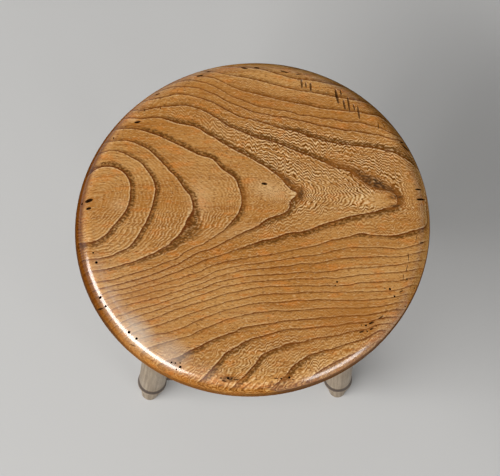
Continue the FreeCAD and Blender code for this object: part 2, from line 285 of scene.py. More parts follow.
def on_board(pixel):
    """The point of the board's upper surface that the camera sees at a pixel."""
    ray = (view_right * (pixel[0] - PHOTO_WIDTH_PX / 2)
           + view_up * (PHOTO_HEIGHT_PX / 2 - pixel[1]) - view_back * CAMERA_FOCAL_PX)
    height = SEAT_TOP
    for closer in range(ROUNDS_TO_BOARD):
        point = view_point + ray * ((height - view_point.z) / ray.z)
        height = board_height(point.x, point.y)
    return Vector((point.x, point.y, height))


print("The middle pixel of the picture sees", [round(value, 4) for value in on_board((250, 238))])

# %% Worm holes
MM = 0.001
HOLE_SIDES = 9
HOLE_TAPER_SHARE = 0.6
CUT_ABOVE = 0.002
WORM_HOLES = (
    # pixel across, pixel down, diameter in millimetres, depth in millimetres
    (82.0, 204.0, 2.3, 4), (93.2, 252.8, 2.2, 3), (96.4, 262.4, 3.0, 4), (100.2, 297.6, 3.0, 4),
    (105.6, 306.2, 2.4, 4), (129.0, 332.2, 3.0, 4), (136.5, 338.6, 2.8, 4), (171.4, 362.4, 2.0, 3),
    (175.4, 363.0, 1.7, 3), (180.2, 363.0, 1.7, 3), (180.2, 367.0, 2.8, 4), (176.6, 369.4, 1.4, 2),
    (113.5, 138.0, 2.0, 3), (144.6, 110.0, 1.8, 2), (160.5, 108.0, 1.7, 2),
    (390.0, 289.0, 2.8, 4), (394.6, 296.2, 2.4, 3), (385.0, 288.4, 1.5, 2),
    (337.2, 281.8, 2.3, 3), (335.2, 285.4, 1.6, 2), (407.0, 279.0, 2.1, 3),
    (366.0, 325.4, 2.3, 4), (376.2, 325.8, 1.6, 3), (367.2, 331.2, 1.7, 3), (361.4, 325.0, 1.5, 2),
    (221.0, 378.0, 1.6, 3), (228.0, 378.0, 2.4, 4), (232.0, 378.4, 1.6, 3),
    (281.2, 378.6, 1.8, 3), (289.4, 377.4, 2.4, 4), (293.0, 379.6, 1.5, 2),
    (414.4, 288.0, 1.7, 2), (405.4, 306.6, 1.7, 2),
    (316.0, 87.0, 1.3, 1), (319.4, 86.2, 1.2, 1), (322.0, 89.6, 1.4, 1), (325.4, 87.4, 1.2, 1),
    (328.2, 91.0, 1.3, 1), (331.0, 88.4, 1.2, 1), (318.4, 90.4, 1.1, 1), (326.0, 93.0, 1.2, 1),
)

cutters = bmesh.new()
for across, down, diameter, depth in WORM_HOLES:
    mouth = on_board((across, down))
    length = depth * MM + CUT_ABOVE
    middle = mouth + Vector((0, 0, CUT_ABOVE - length / 2))
    bmesh.ops.create_cone(cutters, cap_ends=True, segments=HOLE_SIDES,
                          radius1=diameter * MM / 2 * HOLE_TAPER_SHARE, radius2=diameter * MM / 2,
                          depth=length, matrix=Matrix.Translation(middle))
print("Worm holes:", len(WORM_HOLES))

# %% Tool cuts, dents and the small splits in the rim
TOOL_CUTS = (
    # start pixel, end pixel, width in millimetres, depth in millimetres
    ((301.4, 80.0), (302.2, 87.0), 2.6, 0.7), ((305.8, 83.0), (306.2, 87.0), 2.2, 0.6),
    ((310.6, 83.0), (311.0, 90.0), 2.6, 0.7), ((297.0, 74.2), (301.6, 73.6), 2.4, 0.6),
    ((335.4, 89.0), (338.6, 103.0), 3.2, 0.9), ((340.6, 89.0), (341.6, 96.0), 2.0, 0.6),
    ((343.4, 100.0), (345.4, 109.0), 2.4, 0.7), ((347.8, 97.0), (350.0, 111.0), 2.4, 0.7),
    ((353.4, 104.4), (355.0, 110.0), 2.0, 0.5), ((357.8, 106.0), (359.8, 119.0), 2.4, 0.6),
    ((262.8, 183.4), (266.2, 183.8), 2.8, 1.6), ((135.6, 122.4), (139.8, 121.4), 2.6, 1.4),
    ((86.6, 201.4), (91.4, 199.6), 3.8, 2.0), ((87.4, 208.8), (90.0, 208.0), 2.8, 1.6),
    ((378.0, 122.0), (379.0, 129.0), 1.1, 0.6), ((383.0, 123.0), (385.0, 128.0), 1.1, 0.6),
    ((415.6, 189.0), (422.4, 189.6), 2.0, 1.5), ((416.8, 199.0), (425.6, 199.4), 2.4, 1.9),
    ((408.4, 252.0), (408.8, 262.0), 0.9, 0.5),
    ((408.0, 264.0), (406.0, 272.0), 0.9, 0.5), ((403.6, 274.0), (403.2, 280.0), 0.9, 0.5),
    ((417.4, 233.0), (415.6, 243.0), 0.8, 0.4), ((400.0, 292.0), (403.0, 290.4), 1.4, 0.7),
    ((420.0, 243.0), (424.0, 242.0), 1.4, 0.7), ((400.6, 142.0), (403.6, 142.6), 2.0, 1.5),
    ((403.0, 145.4), (408.6, 150.6), 2.6, 2.0), ((96.8, 310.2), (103.0, 307.8), 1.6, 1.4),
    ((197.6, 76.2), (202.4, 75.0), 2.6, 1.6), ((207.4, 71.8), (210.6, 70.8), 2.0, 1.2),
    ((155.4, 94.8), (159.6, 93.4), 2.0, 1.2),
    ((241.6, 67.4), (247.4, 68.6), 2.2, 1.6), ((255.2, 67.4), (259.0, 67.8), 2.2, 1.6),
    ((281.4, 71.2), (288.6, 72.2), 2.0, 1.4),
    ((360.2, 332.2), (363.8, 330.8), 1.8, 0.9), ((369.8, 323.6), (373.8, 321.8), 2.0, 1.0),
    ((379.0, 318.4), (383.6, 315.6), 1.5, 0.8), ((370.4, 329.4), (373.2, 328.2), 1.5, 0.9),
    ((129.0, 344.0), (136.0, 346.4), 1.0, 0.6), ((222.6, 380.6), (226.0, 381.2), 1.6, 0.8),
    ((234.0, 379.6), (239.0, 379.8), 1.3, 0.7), ((274.0, 378.0), (278.4, 378.6), 1.2, 0.6),
)

for start, end, width, depth in TOOL_CUTS:
    near = on_board(start)
    far = on_board(end)
    along = far - near
    turned = along.to_track_quat("X", "Z").to_matrix().to_4x4()
    stretch = Matrix.Diagonal((along.length / 2 + width * MM / 2, width * MM / 2, depth * MM, 1))
    middle = on_board(((start[0] + end[0]) / 2, (start[1] + end[1]) / 2))
    bmesh.ops.create_icosphere(cutters, subdivisions=2, radius=1,
                               matrix=Matrix.Translation(middle) @ turned @ stretch)
print("Tool cuts:", len(TOOL_CUTS))

# %% [markdown]
# ## Sockets under the board
#
# Each leg ends in a round tenon that is glued into a blind hole bored from below. The holes lean as
# the legs lean. A hole could be drawn into the mesh by hand, ring by ring, but bmesh has no operator
# that takes one shape out of another. A Boolean modifier does it as a drill would, and so the
# sockets are cut together with the marks.

# %% Where the legs stand
LEG_SPLAY = 8.8
LEG_AZIMUTH = 45
FOOT_RADIUS = 0.155
LEG_TENON_RADIUS = 0.011
LEG_TENON_END = 0.2931
FIT_GAP = 0.0001
END_GAP = 0.0002
LEG_PLACES = (
    # name, azimuth of the leg seen from above
    ("front_left", 180 + LEG_AZIMUTH),
    ("front_right", 360 - LEG_AZIMUTH),
    ("back_right", LEG_AZIMUTH),
    ("back_left", 180 - LEG_AZIMUTH),
)


def leg_axis(azimuth):
    """Moves a shape that is turned about Z onto a leg's own leaning axis."""
    return (Matrix.Rotation(radians(azimuth), 4, "Z") @ Matrix.Translation((FOOT_RADIUS, 0, 0))
            @ Matrix.Rotation(radians(-LEG_SPLAY), 4, "Y"))


print("Feet", round(FOOT_RADIUS * 2 ** 0.5, 3), "m apart along each side")


# %% Helpers that bore and carve
def rod(shape, axis, start, end, radius, sides):
    """Adds a plain round rod along an axis's own Z, to bore a hole with."""
    middle = axis @ Matrix.Translation((0, 0, (start + end) / 2))
    bmesh.ops.create_cone(shape, cap_ends=True, segments=sides, radius1=radius, radius2=radius,
                          depth=end - start, matrix=middle)


def carve(piece, cutter_shape):
    """Takes a shape out of a piece for good, with a Boolean modifier that is then applied."""
    cutter = new_piece("cutter", cutter_shape)
    boolean = piece.modifiers.new("carve", "BOOLEAN")
    boolean.operation = "DIFFERENCE"
    boolean.solver = "EXACT"
    boolean.object = cutter
    evaluated = piece.evaluated_get(bpy.context.evaluated_depsgraph_get())
    carved = bpy.data.meshes.new_from_object(evaluated)
    piece.modifiers.clear()
    piece.data = carved
    bpy.data.objects.remove(cutter)


print("Shapes can be bored")

# %% The board is bored and marked
SOCKET_SIDES = 40
DRILL_LENGTH = 0.045

for name, azimuth in LEG_PLACES:
    rod(cutters, leg_axis(azimuth), LEG_TENON_END - DRILL_LENGTH, LEG_TENON_END + END_GAP,
        LEG_TENON_RADIUS + FIT_GAP, SOCKET_SIDES)
seat = new_piece("elm_seat", board)
carve(seat, cutters)
print("Seat faces after boring:", len(seat.data.polygons))

# %% [markdown]
# ## The growth rings
#
# The whole look of the board is in its growth rings: tall arches in the middle, where the saw ran
# nearly along the rings, and close straight lines at both sides, where it crossed them. A noise
# texture can't draw that. Instead, each ring line is a row of points that were read off the picture,
# and a thin plate, the smoothest surface through given heights, is stretched over all of them. Its
# height at any point of the board is then the number of the ring there.

# %% Ring lines, by pixel
RING_LINES_PX = (
    (0.35, (92, 205)),
    (1, (88, 176), (95, 170), (103, 167), (112, 167), (120, 170), (126, 175), (129, 182), (130, 192),
     (129, 200), (127, 208), (121, 216), (114, 224), (109, 230), (103, 236), (94, 241)),
    (2, (100, 154), (110, 151), (120, 152), (130, 157), (140, 163), (147, 171), (152, 179),
     (155, 188), (154, 195), (152, 205), (148, 217), (145, 223), (140, 231), (136, 238), (131, 244),
     (127, 248), (120, 251), (112, 255), (97, 258)),
    (3, (112, 142), (120, 141), (130, 142), (138, 145), (148, 150), (157, 158), (167, 168),
     (176, 178), (184, 189), (190, 196), (192, 203), (190, 213), (187, 219), (182, 228), (180, 233),
     (172, 240), (162, 248), (150, 254), (138, 259), (125, 263), (112, 267), (95, 270)),
    (4, (116, 130), (125, 129), (135, 129), (150, 133), (163, 138), (178, 145), (190, 151),
     (200, 156), (213, 160), (222, 169), (233, 177), (237, 184), (240, 193), (240, 207), (235, 217),
     (227, 226), (222, 231), (210, 239), (200, 245), (190, 249), (178, 257), (165, 262), (150, 268),
     (135, 273), (118, 278), (100, 281)),
    (5, (124, 119), (140, 119), (150, 118), (160, 118), (170, 121), (180, 124), (190, 126),
     (200, 130), (207, 135), (215, 138), (222, 143), (230, 148), (240, 153), (250, 158), (258, 163),
     (266, 168), (275, 174), (283, 181), (287, 186), (291, 190), (297, 193), (293, 198), (290, 202),
     (289, 207), (283, 213), (275, 216), (265, 220), (258, 225), (250, 229), (243, 232), (235, 236),
     (225, 241), (213, 247), (200, 251), (192, 255), (183, 260), (172, 266), (160, 271), (145, 276),
     (125, 282), (105, 287)),
    (6, (143, 111), (160, 108), (170, 107), (180, 106), (190, 107), (200, 110), (207, 113),
     (220, 121), (225, 125), (235, 129), (250, 136), (260, 139), (270, 141), (280, 145), (290, 149),
     (300, 153), (310, 157), (325, 163), (335, 168), (345, 170), (352, 174), (360, 180), (367, 185),
     (375, 189), (385, 191), (395, 194), (397, 200), (396, 205), (386, 208), (370, 212), (360, 214),
     (350, 216), (340, 219), (330, 222), (320, 225), (310, 229), (297, 232), (287, 233), (280, 236),
     (262, 240), (247, 245), (232, 250), (220, 255), (213, 257), (200, 262), (190, 266), (175, 272),
     (155, 279), (130, 286), (108, 291)),
    (7, (140, 103), (150, 100), (165, 97), (175, 95), (185, 95), (195, 97), (205, 100), (217, 106),
     (225, 110), (240, 117), (250, 120), (262, 123), (275, 127), (285, 130), (295, 132), (303, 135),
     (313, 138), (325, 142), (335, 144), (345, 145), (365, 148), (385, 151), (393, 153), (400, 157),
     (410, 163), (419, 172)),
    (7, (425, 226), (420, 228), (410, 231), (400, 234), (385, 235), (370, 234), (360, 233),
     (350, 236), (340, 238), (330, 240), (320, 244), (310, 246), (300, 248), (290, 250), (280, 252),
     (265, 255), (245, 258), (228, 261), (215, 264), (205, 268), (190, 274), (170, 280), (150, 286),
     (125, 293), (110, 297)),
    (6.84, (421, 188), (422, 200), (422, 212)),
    (8, (158, 92), (175, 87), (185, 87), (195, 88), (205, 91), (215, 95), (227, 102), (240, 107),
     (247, 110), (255, 113), (265, 115), (285, 118), (300, 121), (310, 123), (325, 127), (340, 130),
     (360, 133), (380, 136), (390, 139), (400, 141), (408, 147)),
    (8, (425, 241), (418, 244), (410, 246), (400, 248), (385, 247), (365, 247), (350, 247),
     (340, 249), (330, 251), (320, 254), (310, 255), (300, 256), (290, 258), (280, 260), (270, 261),
     (255, 263), (245, 264), (235, 266), (225, 268), (210, 273), (200, 278), (180, 285), (160, 290),
     (140, 295), (115, 301)),
    (9, (175, 83), (185, 81), (195, 81), (205, 83), (217, 88), (222, 91), (230, 96), (238, 99),
     (252, 105), (262, 108), (280, 111), (300, 116), (320, 119), (345, 122), (360, 123), (370, 126),
     (385, 131), (398, 137)),
    (9, (425, 250), (420, 251), (410, 254), (395, 256), (380, 256), (365, 256), (350, 257),
     (340, 258), (330, 260), (320, 262), (300, 263), (290, 265), (280, 266), (262, 268), (250, 269),
     (240, 270), (230, 272), (217, 276), (200, 283), (180, 290), (155, 297), (120, 306)),
    (10, (203, 77), (215, 79), (222, 82), (230, 86), (243, 91), (250, 93), (258, 95), (268, 97),
     (285, 101), (305, 105), (325, 109), (340, 111), (360, 113), (370, 115), (380, 117)),
    (10, (420, 260), (410, 262), (395, 265), (380, 266), (365, 267), (350, 268), (340, 269),
     (330, 271), (320, 272), (300, 272), (285, 273), (270, 274), (255, 275), (243, 276), (235, 278),
     (225, 280), (215, 283), (200, 289), (180, 296), (155, 304), (125, 313)),
    (11, (222, 74), (240, 77), (250, 79), (262, 82), (280, 87), (290, 89), (300, 91), (318, 94),
     (345, 99)),
    (11, (418, 268), (400, 271), (390, 272), (375, 273), (360, 274), (345, 276), (325, 277),
     (300, 278), (285, 279), (270, 280), (255, 281), (240, 283), (225, 286), (210, 291), (195, 296),
     (175, 303), (155, 310), (130, 318)),
    (12, (255, 69), (262, 70), (270, 72), (280, 75), (290, 78), (300, 80), (320, 82), (330, 84)),
    (12, (413, 277), (400, 280), (390, 280), (380, 281), (370, 282), (360, 282), (350, 284),
     (335, 285), (320, 285), (300, 285), (280, 286), (270, 286), (262, 287), (245, 289), (235, 291),
     (220, 295), (205, 300), (190, 304), (175, 309), (163, 314), (150, 319), (135, 323)),
    (13, (410, 285), (400, 288), (390, 290), (370, 291), (355, 291), (340, 291), (325, 291),
     (310, 291), (290, 293), (275, 293), (255, 295), (245, 297), (237, 299), (220, 304), (200, 310),
     (185, 315), (170, 320), (160, 324), (140, 330)),
    (14, (395, 296), (385, 298), (375, 299), (365, 300), (350, 300), (335, 300), (310, 300),
     (295, 300), (275, 302), (255, 303), (247, 304), (238, 306), (222, 311), (210, 315), (200, 319),
     (192, 323), (180, 328), (170, 331), (155, 334), (143, 337)),
    (15, (392, 303), (385, 305), (375, 306), (365, 307), (350, 307), (335, 307), (320, 308),
     (300, 309), (275, 310), (255, 312), (240, 315), (225, 319), (218, 322), (207, 327), (200, 330),
     (190, 335), (178, 338), (165, 342), (152, 346)),
    (16, (385, 311), (370, 314), (350, 315), (330, 317), (310, 318), (300, 319), (290, 320),
     (275, 322), (260, 324), (250, 326), (240, 328), (235, 331), (220, 336), (210, 340), (200, 346),
     (190, 350), (178, 357)),
    (17, (370, 321), (350, 322), (340, 324), (325, 326), (315, 327), (300, 328), (290, 328),
     (280, 330), (270, 333), (260, 336), (250, 339), (240, 344), (230, 350), (225, 353), (220, 359),
     (212, 367), (207, 373), (200, 380)),
    (18, (362, 329), (350, 331), (340, 334), (330, 336), (320, 337), (310, 339), (300, 342),
     (290, 343), (280, 346), (270, 350), (262, 354), (258, 359), (255, 363), (250, 369), (245, 374),
     (238, 381)),
    (19, (378, 330), (368, 336), (360, 339), (350, 342), (340, 345), (330, 349), (322, 350),
     (317, 352), (310, 354), (305, 357), (300, 360), (295, 364), (290, 369), (286, 375), (278, 382)),
)
ring_points = [(on_board(pixel), line[0]) for line in RING_LINES_PX for pixel in line[1:]]
print(f"Ring lines: {len(RING_LINES_PX)}, with {len(ring_points)} points")

# %% The thin plate through them
PLATE_UNIT = 0.1
PLATE_SLACK = 0.0004
PLATE_BATCH = 8000
NOT_ZERO = 1e-12


def bending(here, there):
    """How much each point of a thin plate bends with each of its supports."""
    apart = ((here[:, None, :] - there[None, :, :]) ** 2).sum(axis=2)
    return apart * np.log(apart + NOT_ZERO)


supports = np.array([point[0].to_2d() for point in ring_points]) / PLATE_UNIT
heights = np.array([point[1] for point in ring_points], float)
count = len(supports)
level = np.column_stack([np.ones(count), supports])
system = np.zeros((count + 3, count + 3))
system[:count, :count] = bending(supports, supports) + PLATE_SLACK * np.eye(count)
system[:count, count:] = level
system[count:, :count] = level.T
plate = np.linalg.solve(system, np.concatenate([heights, np.zeros(3)]))


def ring_on_top(spots):
    """The ring number at points of the board's top, given as rows of x and y."""
    rings = np.empty(len(spots))
    for start in range(0, len(spots), PLATE_BATCH):
        batch = spots[start:start + PLATE_BATCH] / PLATE_UNIT
        level = np.column_stack([np.ones(len(batch)), batch])
        rings[start:start + PLATE_BATCH] = bending(batch, supports) @ plate[:-3] + level @ plate[-3:]
    return rings


worst = np.abs(ring_on_top(supports * PLATE_UNIT) - heights).max()
print(f"The plate misses its points by {worst:.3f} of a ring at most")

# %% [markdown]
# ## Rings through the thickness
#
# A ring is a layer that runs on through the board. Where its lines lie far apart on the top, the
# layer is nearly level, and a little further down quite another ring is met. Where they lie close
# together, the layer stands upright, and its line runs straight over the edge. To carry every line
# straight down would be right only there. So the spacing on the top also tells how the pattern goes
# on down the edge and along the underside, and the board looks like one piece of wood all round.

# %% Helpers that read and keep numbers on a mesh
def points_of(mesh):
    """The places of a mesh's points, as rows of x, y and z."""
    values = np.zeros(len(mesh.vertices) * 3, np.float32)
    mesh.vertices.foreach_get("co", values)
    return values.reshape(-1, 3).astype(float)


def store(mesh, name, values):
    """Keeps one number for each point of a mesh, for its material to read."""
    attribute = mesh.attributes.new(name, "FLOAT", "POINT")
    attribute.data.foreach_set("value", np.asarray(values, np.float32))


print("Points of the seat:", len(seat.data.vertices))

# %% The rings and their spacing go onto the seat
PROBE = 0.0005
RING_WIDTH = 0.008
DEPTH_SHOWN = 0.008
SPACING_LIMITS = (0.004, 0.09)

spots = points_of(seat.data)
rings_above = ring_on_top(spots[:, :2])
slope = np.column_stack([(ring_on_top(spots[:, :2] + PROBE * step) - rings_above) / PROBE
                         for step in np.eye(2)])
steepness = np.linalg.norm(slope, axis=1)
upright = np.sqrt(np.maximum(1 / RING_WIDTH ** 2 - steepness ** 2, 0))
rings = rings_above - np.maximum(SEAT_TOP - DEPTH_SHOWN - spots[:, 2], 0) * upright
spacing = np.clip(1 / np.maximum(steepness, 1), *SPACING_LIMITS)
store(seat.data, "ring", rings)
store(seat.data, "spacing", spacing)
store(seat.data, "tip", np.abs(slope[:, 0]) / np.maximum(steepness, 1))
print(f"Rings {rings.min():.1f} to {rings.max():.1f}, spacing {spacing.min() * 1000:.1f} mm up")

# %% Where the zigzag figure shows
FIGURE_ABOVE = (
    # ring, strength of the figure there, above the tips of the arches in the picture
    (0, 0.5), (2.9, 0.6), (3.9, 0.55), (4.1, 0.3), (4.9, 0.3), (5.1, 1.4), (6.4, 1.3),
    (7.9, 0.9), (9, 0.45), (12, 0.35),
)
FIGURE_BELOW = (
    # the same below the tips
    (0, 0.5), (2.9, 0.6), (3.9, 0.55), (4.1, 0.3), (4.9, 0.3), (5.1, 0.7), (6.0, 0.4),
    (8, 0.25), (15, 0.25), (17, 0.6), (18, 0.85), (20, 0.9),
)
FIGURE_TURNS_PX = (206, 216)
FIGURE_LEFT = (
    # place along the grain in metres, share of the upper figure that is left there
    (-0.045, 0.35), (0.0, 1.0),
)
CALM_PLACES = (
    # middle pixel, reach along and across the grain in metres
    ((384, 200), (0.016, 0.009)),
    ((414, 190), (0.012, 0.022)),
)
CALM_CORE = 0.3
CALM_LEAST = 0.2

above, below = [on_board((PHOTO_WIDTH_PX / 2, down)).y for down in FIGURE_TURNS_PX]
lower = np.clip((above - spots[:, 1]) / (above - below), 0, 1)
dotted = np.interp(spots[:, 0], *zip(*FIGURE_LEFT))
figured = ((1 - lower) * np.interp(rings_above, *zip(*FIGURE_ABOVE)) * dotted
           + lower * np.interp(rings_above, *zip(*FIGURE_BELOW)))
for pixel, reach in CALM_PLACES:
    from_calm = spots[:, :2] - np.array(on_board(pixel).to_2d())
    figured *= np.clip(np.hypot(*(from_calm / reach).T) - CALM_CORE, CALM_LEAST, 1)
store(seat.data, "figured", figured)
print(f"The figure's strength is {figured.mean():.2f} on the average")

# %% [markdown]
# ## Stains and wax
#
# Long use has left dark smudges at the tips of the arches and near the worm holes, pale places
# where the wax is rubbed off and darker ones where polish has built up. Beside the left edge lies a
# painted sheen: a pale veil in the colour that stands for the soft reflection there. A noise
# texture would put such marks anywhere. Here each is a soft ellipse at a given pixel, and the mesh
# keeps its strength for the finish to read. The mesh also keeps how deep each point lies in a hole,
# so that a painted shade darkens the holes inside.

# %% Stains, rubbed places and painted sheen on the board
STAINS = (
    # middle pixel, half length and half width in millimetres, turn in degrees, strength
    ((374, 182), 21, 7.0, -26, 1.0), ((388, 189), 11, 4.5, -25, 0.85), ((402, 203), 4, 7, 0, 0.45),
    ((396, 197), 9, 3.0, 0, 1.0), ((395, 206), 9, 2.6, 6, 0.9), ((301, 194), 5, 10, 0, 0.8),
    ((345, 166), 12, 3.5, -20, 0.5), ((361, 173), 13, 4.5, -32, 0.8), ((245, 196), 4, 15, 0, 0.4),
    ((289, 181), 13, 4, -38, 0.7), ((331, 164), 6, 4, -20, 0.6), ((230, 379), 10, 3, 0, 1.0),
    ((172, 364), 10, 4, -20, 0.7), ((370, 327), 12, 7, 35, 0.4), ((205, 74), 7, 3, 20, 0.6),
    ((155, 96), 6, 3, 30, 0.5), ((404, 146), 6, 3, -50, 0.6), ((88, 204), 6, 6, 0, 0.4),
    ((285, 378), 8, 3, 0, 0.6),
    # rubbed pale
    ((232, 75), 7, 2.5, 10, -0.3), ((133, 120), 6, 2.5, 5, -0.4), ((392, 150), 7, 2.5, -12, -0.8),
    ((345, 143), 6, 2.5, -5, -0.6), ((270, 190), 22, 12, -15, -0.35), ((120, 205), 14, 9, 0, -0.3),
    ((200, 200), 16, 24, 0, -0.3), ((230, 232), 40, 10, 8, -0.2), ((250, 315), 45, 10, 3, -0.15),
    # darker with old polish
    ((90, 198), 30, 6, 80, 0.2), ((95, 262), 22, 9, -75, 0.25), ((113, 303), 20, 9, -62, 0.24),
    ((150, 290), 30, 14, 10, 0.2), ((345, 318), 34, 20, 22, 0.3), ((262, 96), 70, 14, -10, 0.22),
    ((300, 345), 40, 16, 10, 0.2), ((330, 205), 30, 10, 0, 0.12), ((170, 330), 26, 10, -30, 0.12),
)
PAINTED_SHEEN_MARKS = (
    # the same, for a painted sheen: a pale veil that stands for the soft reflection beside the left
    # edge
    ((170, 354), 19, 13, -32, 0.36), ((137, 333), 24, 11, -48, 0.5), ((112, 304), 22, 9, -62, 0.22),
    ((98, 272), 16, 8, -72, 0.12), ((205, 373), 18, 9, -14, 0.1),
)
MARK_REACH = 1.3


def soft_marks(marks):
    """How strongly each point of the board is marked, by the strongest mark over it."""
    total = np.zeros(len(spots))
    for pixel, half_length, half_width, turn, strength in marks:
        away = spots[:, :2] - np.array(on_board(pixel).to_2d())
        along = away @ np.array([cos(radians(turn)), sin(radians(turn))]) / (half_length * MM)
        across = away @ np.array([-sin(radians(turn)), cos(radians(turn))]) / (half_width * MM)
        mark = strength * np.clip(MARK_REACH - np.hypot(along, across), 0, 1)
        total = np.where(np.abs(mark) > np.abs(total), mark, total)
    return total


store(seat.data, "stain", soft_marks(STAINS))
# painted sheen: a pale veil laid into the colour for the soft reflection beside the left edge
store(seat.data, "painted_sheen", soft_marks(PAINTED_SHEEN_MARKS))
print("Stains:", len(STAINS), "and cloudy places:", len(PAINTED_SHEEN_MARKS))

# %% How deep each point lies under the board's own surface
SURFACE_SLACK = 1e-5

flat_spots = spots @ np.array(oval.inverted().to_3x3()).T
reach = np.linalg.norm(flat_spots[:, :2], axis=1)


def under_round(flat_radius, rim_middle, radius, side):
    """Depth of the points under one rounded edge and the flat face beside it. side is 1 or -1."""
    beyond = np.maximum(reach - flat_radius, 0)
    over = np.maximum((spots[:, 2] - rim_middle) * side, 0)
    return radius - np.hypot(beyond, over)


depth_top = under_round(seat_flat, SEAT_TOP - RIM_ROUND_TOP, RIM_ROUND_TOP, 1)
depth_under = under_round(seat_flat_under, SEAT_UNDER + RIM_ROUND_UNDER, RIM_ROUND_UNDER, -1)
depth = np.maximum(np.minimum(depth_top, depth_under), 0)
# the depth drives the painted shade in holes and cuts, and where the shine is dulled
store(seat.data, "pit", np.where(depth < SURFACE_SLACK, 0, depth))
print(f"Deepest mark or socket: {depth.max() * 1000:.1f} mm")

# %% [markdown]
# ## Small helpers for materials
#
# A node material is a small program. Wiring it node by node takes many lines that all look alike,
# so a helper adds one node and feeds its inputs, and short functions stand for the sums, noises and
# blends. Numbers that are the same all over a surface go straight onto the shader's sockets.


# %% The helpers
class Finish:
    """A material, and short calls that add nodes to it and give back the socket to use next."""

    def __init__(self, name):
        self.material = bpy.data.materials.new(name)
        self.material.use_nodes = True
        self.tree = self.material.node_tree
        self.shader = self.tree.nodes["Principled BSDF"]
        self.place = self.add("ShaderNodeTexCoord").outputs["Object"]

    def add(self, kind, feeds=None, **settings):
        """Adds a node. feeds gives inputs by name or number, as values or as sockets."""
        node = self.tree.nodes.new(kind)
        for key, value in settings.items():
            setattr(node, key, value)
        for key, value in (feeds or {}).items():
            self.feed(node.inputs[key], value)
        return node

    def feed(self, socket, value):
        """Links a socket, or sets its value."""
        if isinstance(value, bpy.types.NodeSocket):
            self.tree.links.new(value, socket)
        else:
            socket.default_value = value

    def math(self, operation, first, second=0.0, third=0.0):
        """One step of arithmetic."""
        feeds = {0: first, 1: second, 2: third}
        return self.add("ShaderNodeMath", feeds, operation=operation).outputs[0]

    def product(self, first, *others):
        """All the values multiplied."""
        for other in others:
            first = self.math("MULTIPLY", first, other)
        return first

    def centred(self, noise_value):
        """Noise that swings about 0 and not about a half."""
        return self.math("SUBTRACT", noise_value, 0.5)

    def blend(self, share, first, second, kind="MIX"):
        """A colour between two colours."""
        node = self.add("ShaderNodeMix", {0: share, 6: first, 7: second},
                        data_type="RGBA", blend_type=kind)
        return node.outputs[2]

    def span(self, value, low, high, out_low=0.0, out_high=1.0):
        """Carries a value softly from one range to another and holds it there."""
        feeds = {0: value, 1: low, 2: high, 3: out_low, 4: out_high}
        return self.add("ShaderNodeMapRange", feeds, interpolation_type="SMOOTHSTEP").outputs[0]

    def noise(self, vector, scale, detail=2.0, rough=0.5, move=(0, 0, 0)):
        """Smooth noise from about 0 to 1. scale is in bumps per metre along each axis."""
        stretch = {"Vector": vector, "Scale": scale, "Location": move}
        stretched = self.add("ShaderNodeMapping", stretch).outputs[0]
        feeds = {"Vector": stretched, "Scale": 1.0, "Detail": detail, "Roughness": rough}
        return self.add("ShaderNodeTexNoise", feeds).outputs[0]

    def kept(self, name, output="Fac"):
        """Reads what store() kept on the mesh."""
        return self.add("ShaderNodeAttribute", attribute_name=name).outputs[output]

    def bump(self, height, distance, strength=1.0):
        """Presses a height into the look of the surface. distance is in metres."""
        feeds = {"Height": height, "Distance": distance, "Strength": strength}
        bumped = self.add("ShaderNodeBump", feeds).outputs[0]
        self.feed(self.shader.inputs["Normal"], bumped)


print("Material helpers are ready")

# %% [markdown]
# ## Rings and figure of the elm
#
# Each year an elm lays down a dark, open band first and denser, lighter wood after it. The dark
# band starts sharply and fades outwards. In the light wood lie fine wavy lines of small pores, the
# zigzag figure by which elm is known. A wave texture could draw rings as well, but only straight or
# round ones. Here bands and figure both follow the ring number that the mesh carries, so they bend
# together round the arches.

# %% Elm: what the mesh tells the finish
elm = Finish("polished_elm")
ring = elm.kept("ring")
spacing_here = elm.kept("spacing")
figure_kept = elm.kept("figured")
stained = elm.kept("stain")
pit = elm.kept("pit")
place_x, place_y, place_z = elm.add("ShaderNodeSeparateXYZ", {0: elm.place}).outputs
to_front = elm.math("MULTIPLY", place_y, -1.0)
print("Elm nodes that read the mesh:", len(elm.tree.nodes))

# %% Elm: the dark bands of the rings
LINE_EDGE = 0.0005
LINE_DARK = 0.0006
LINE_END = 0.0024
LINE_END_CLOSE = 0.0016
BAND_SHARE = 0.34
BAND_WIDEST = 0.0060
BAND_RAGGED = 0.7
CREAM_WIDTH = 0.0015
WAVER = 0.0024
RAGGED = 0.0013
RINGS_BELOW_ZERO = 50
WIDE_SPACING = (0.008, 0.018)

waver = elm.noise(elm.place, (45, 80, 80), detail=2)
ragged = elm.noise(elm.place, (260, 600, 600), detail=3, rough=0.6)
astray = elm.math("MULTIPLY", elm.centred(waver), WAVER)
astray = elm.math("MULTIPLY_ADD", elm.centred(ragged), RAGGED, astray)
wavering_ring = elm.math("ADD", ring, elm.math("DIVIDE", astray, spacing_here))
part_passed = elm.math("FRACT", elm.math("ADD", wavering_ring, RINGS_BELOW_ZERO))
past = elm.math("MULTIPLY", part_passed, spacing_here)
to_next = elm.math("MULTIPLY", elm.math("SUBTRACT", 1.0, part_passed), spacing_here)
wide = elm.span(spacing_here, *WIDE_SPACING)
bold = elm.math("MAXIMUM", wide, elm.span(figure_kept, 0.28, 0.5, 0.0, 0.8))
rise = elm.span(past, 0.0, LINE_EDGE)
line_end = elm.math("MULTIPLY_ADD", bold, LINE_END - LINE_END_CLOSE, LINE_END_CLOSE)
ring_line = elm.math("MULTIPLY", rise, elm.span(past, LINE_DARK, line_end, 1.0, 0.0))
band_end = elm.math("MINIMUM", elm.math("MULTIPLY", spacing_here, BAND_SHARE), BAND_WIDEST)
band_share = elm.math("DIVIDE", past, band_end)
band_share = elm.math("MULTIPLY_ADD", elm.centred(ragged), BAND_RAGGED, band_share)
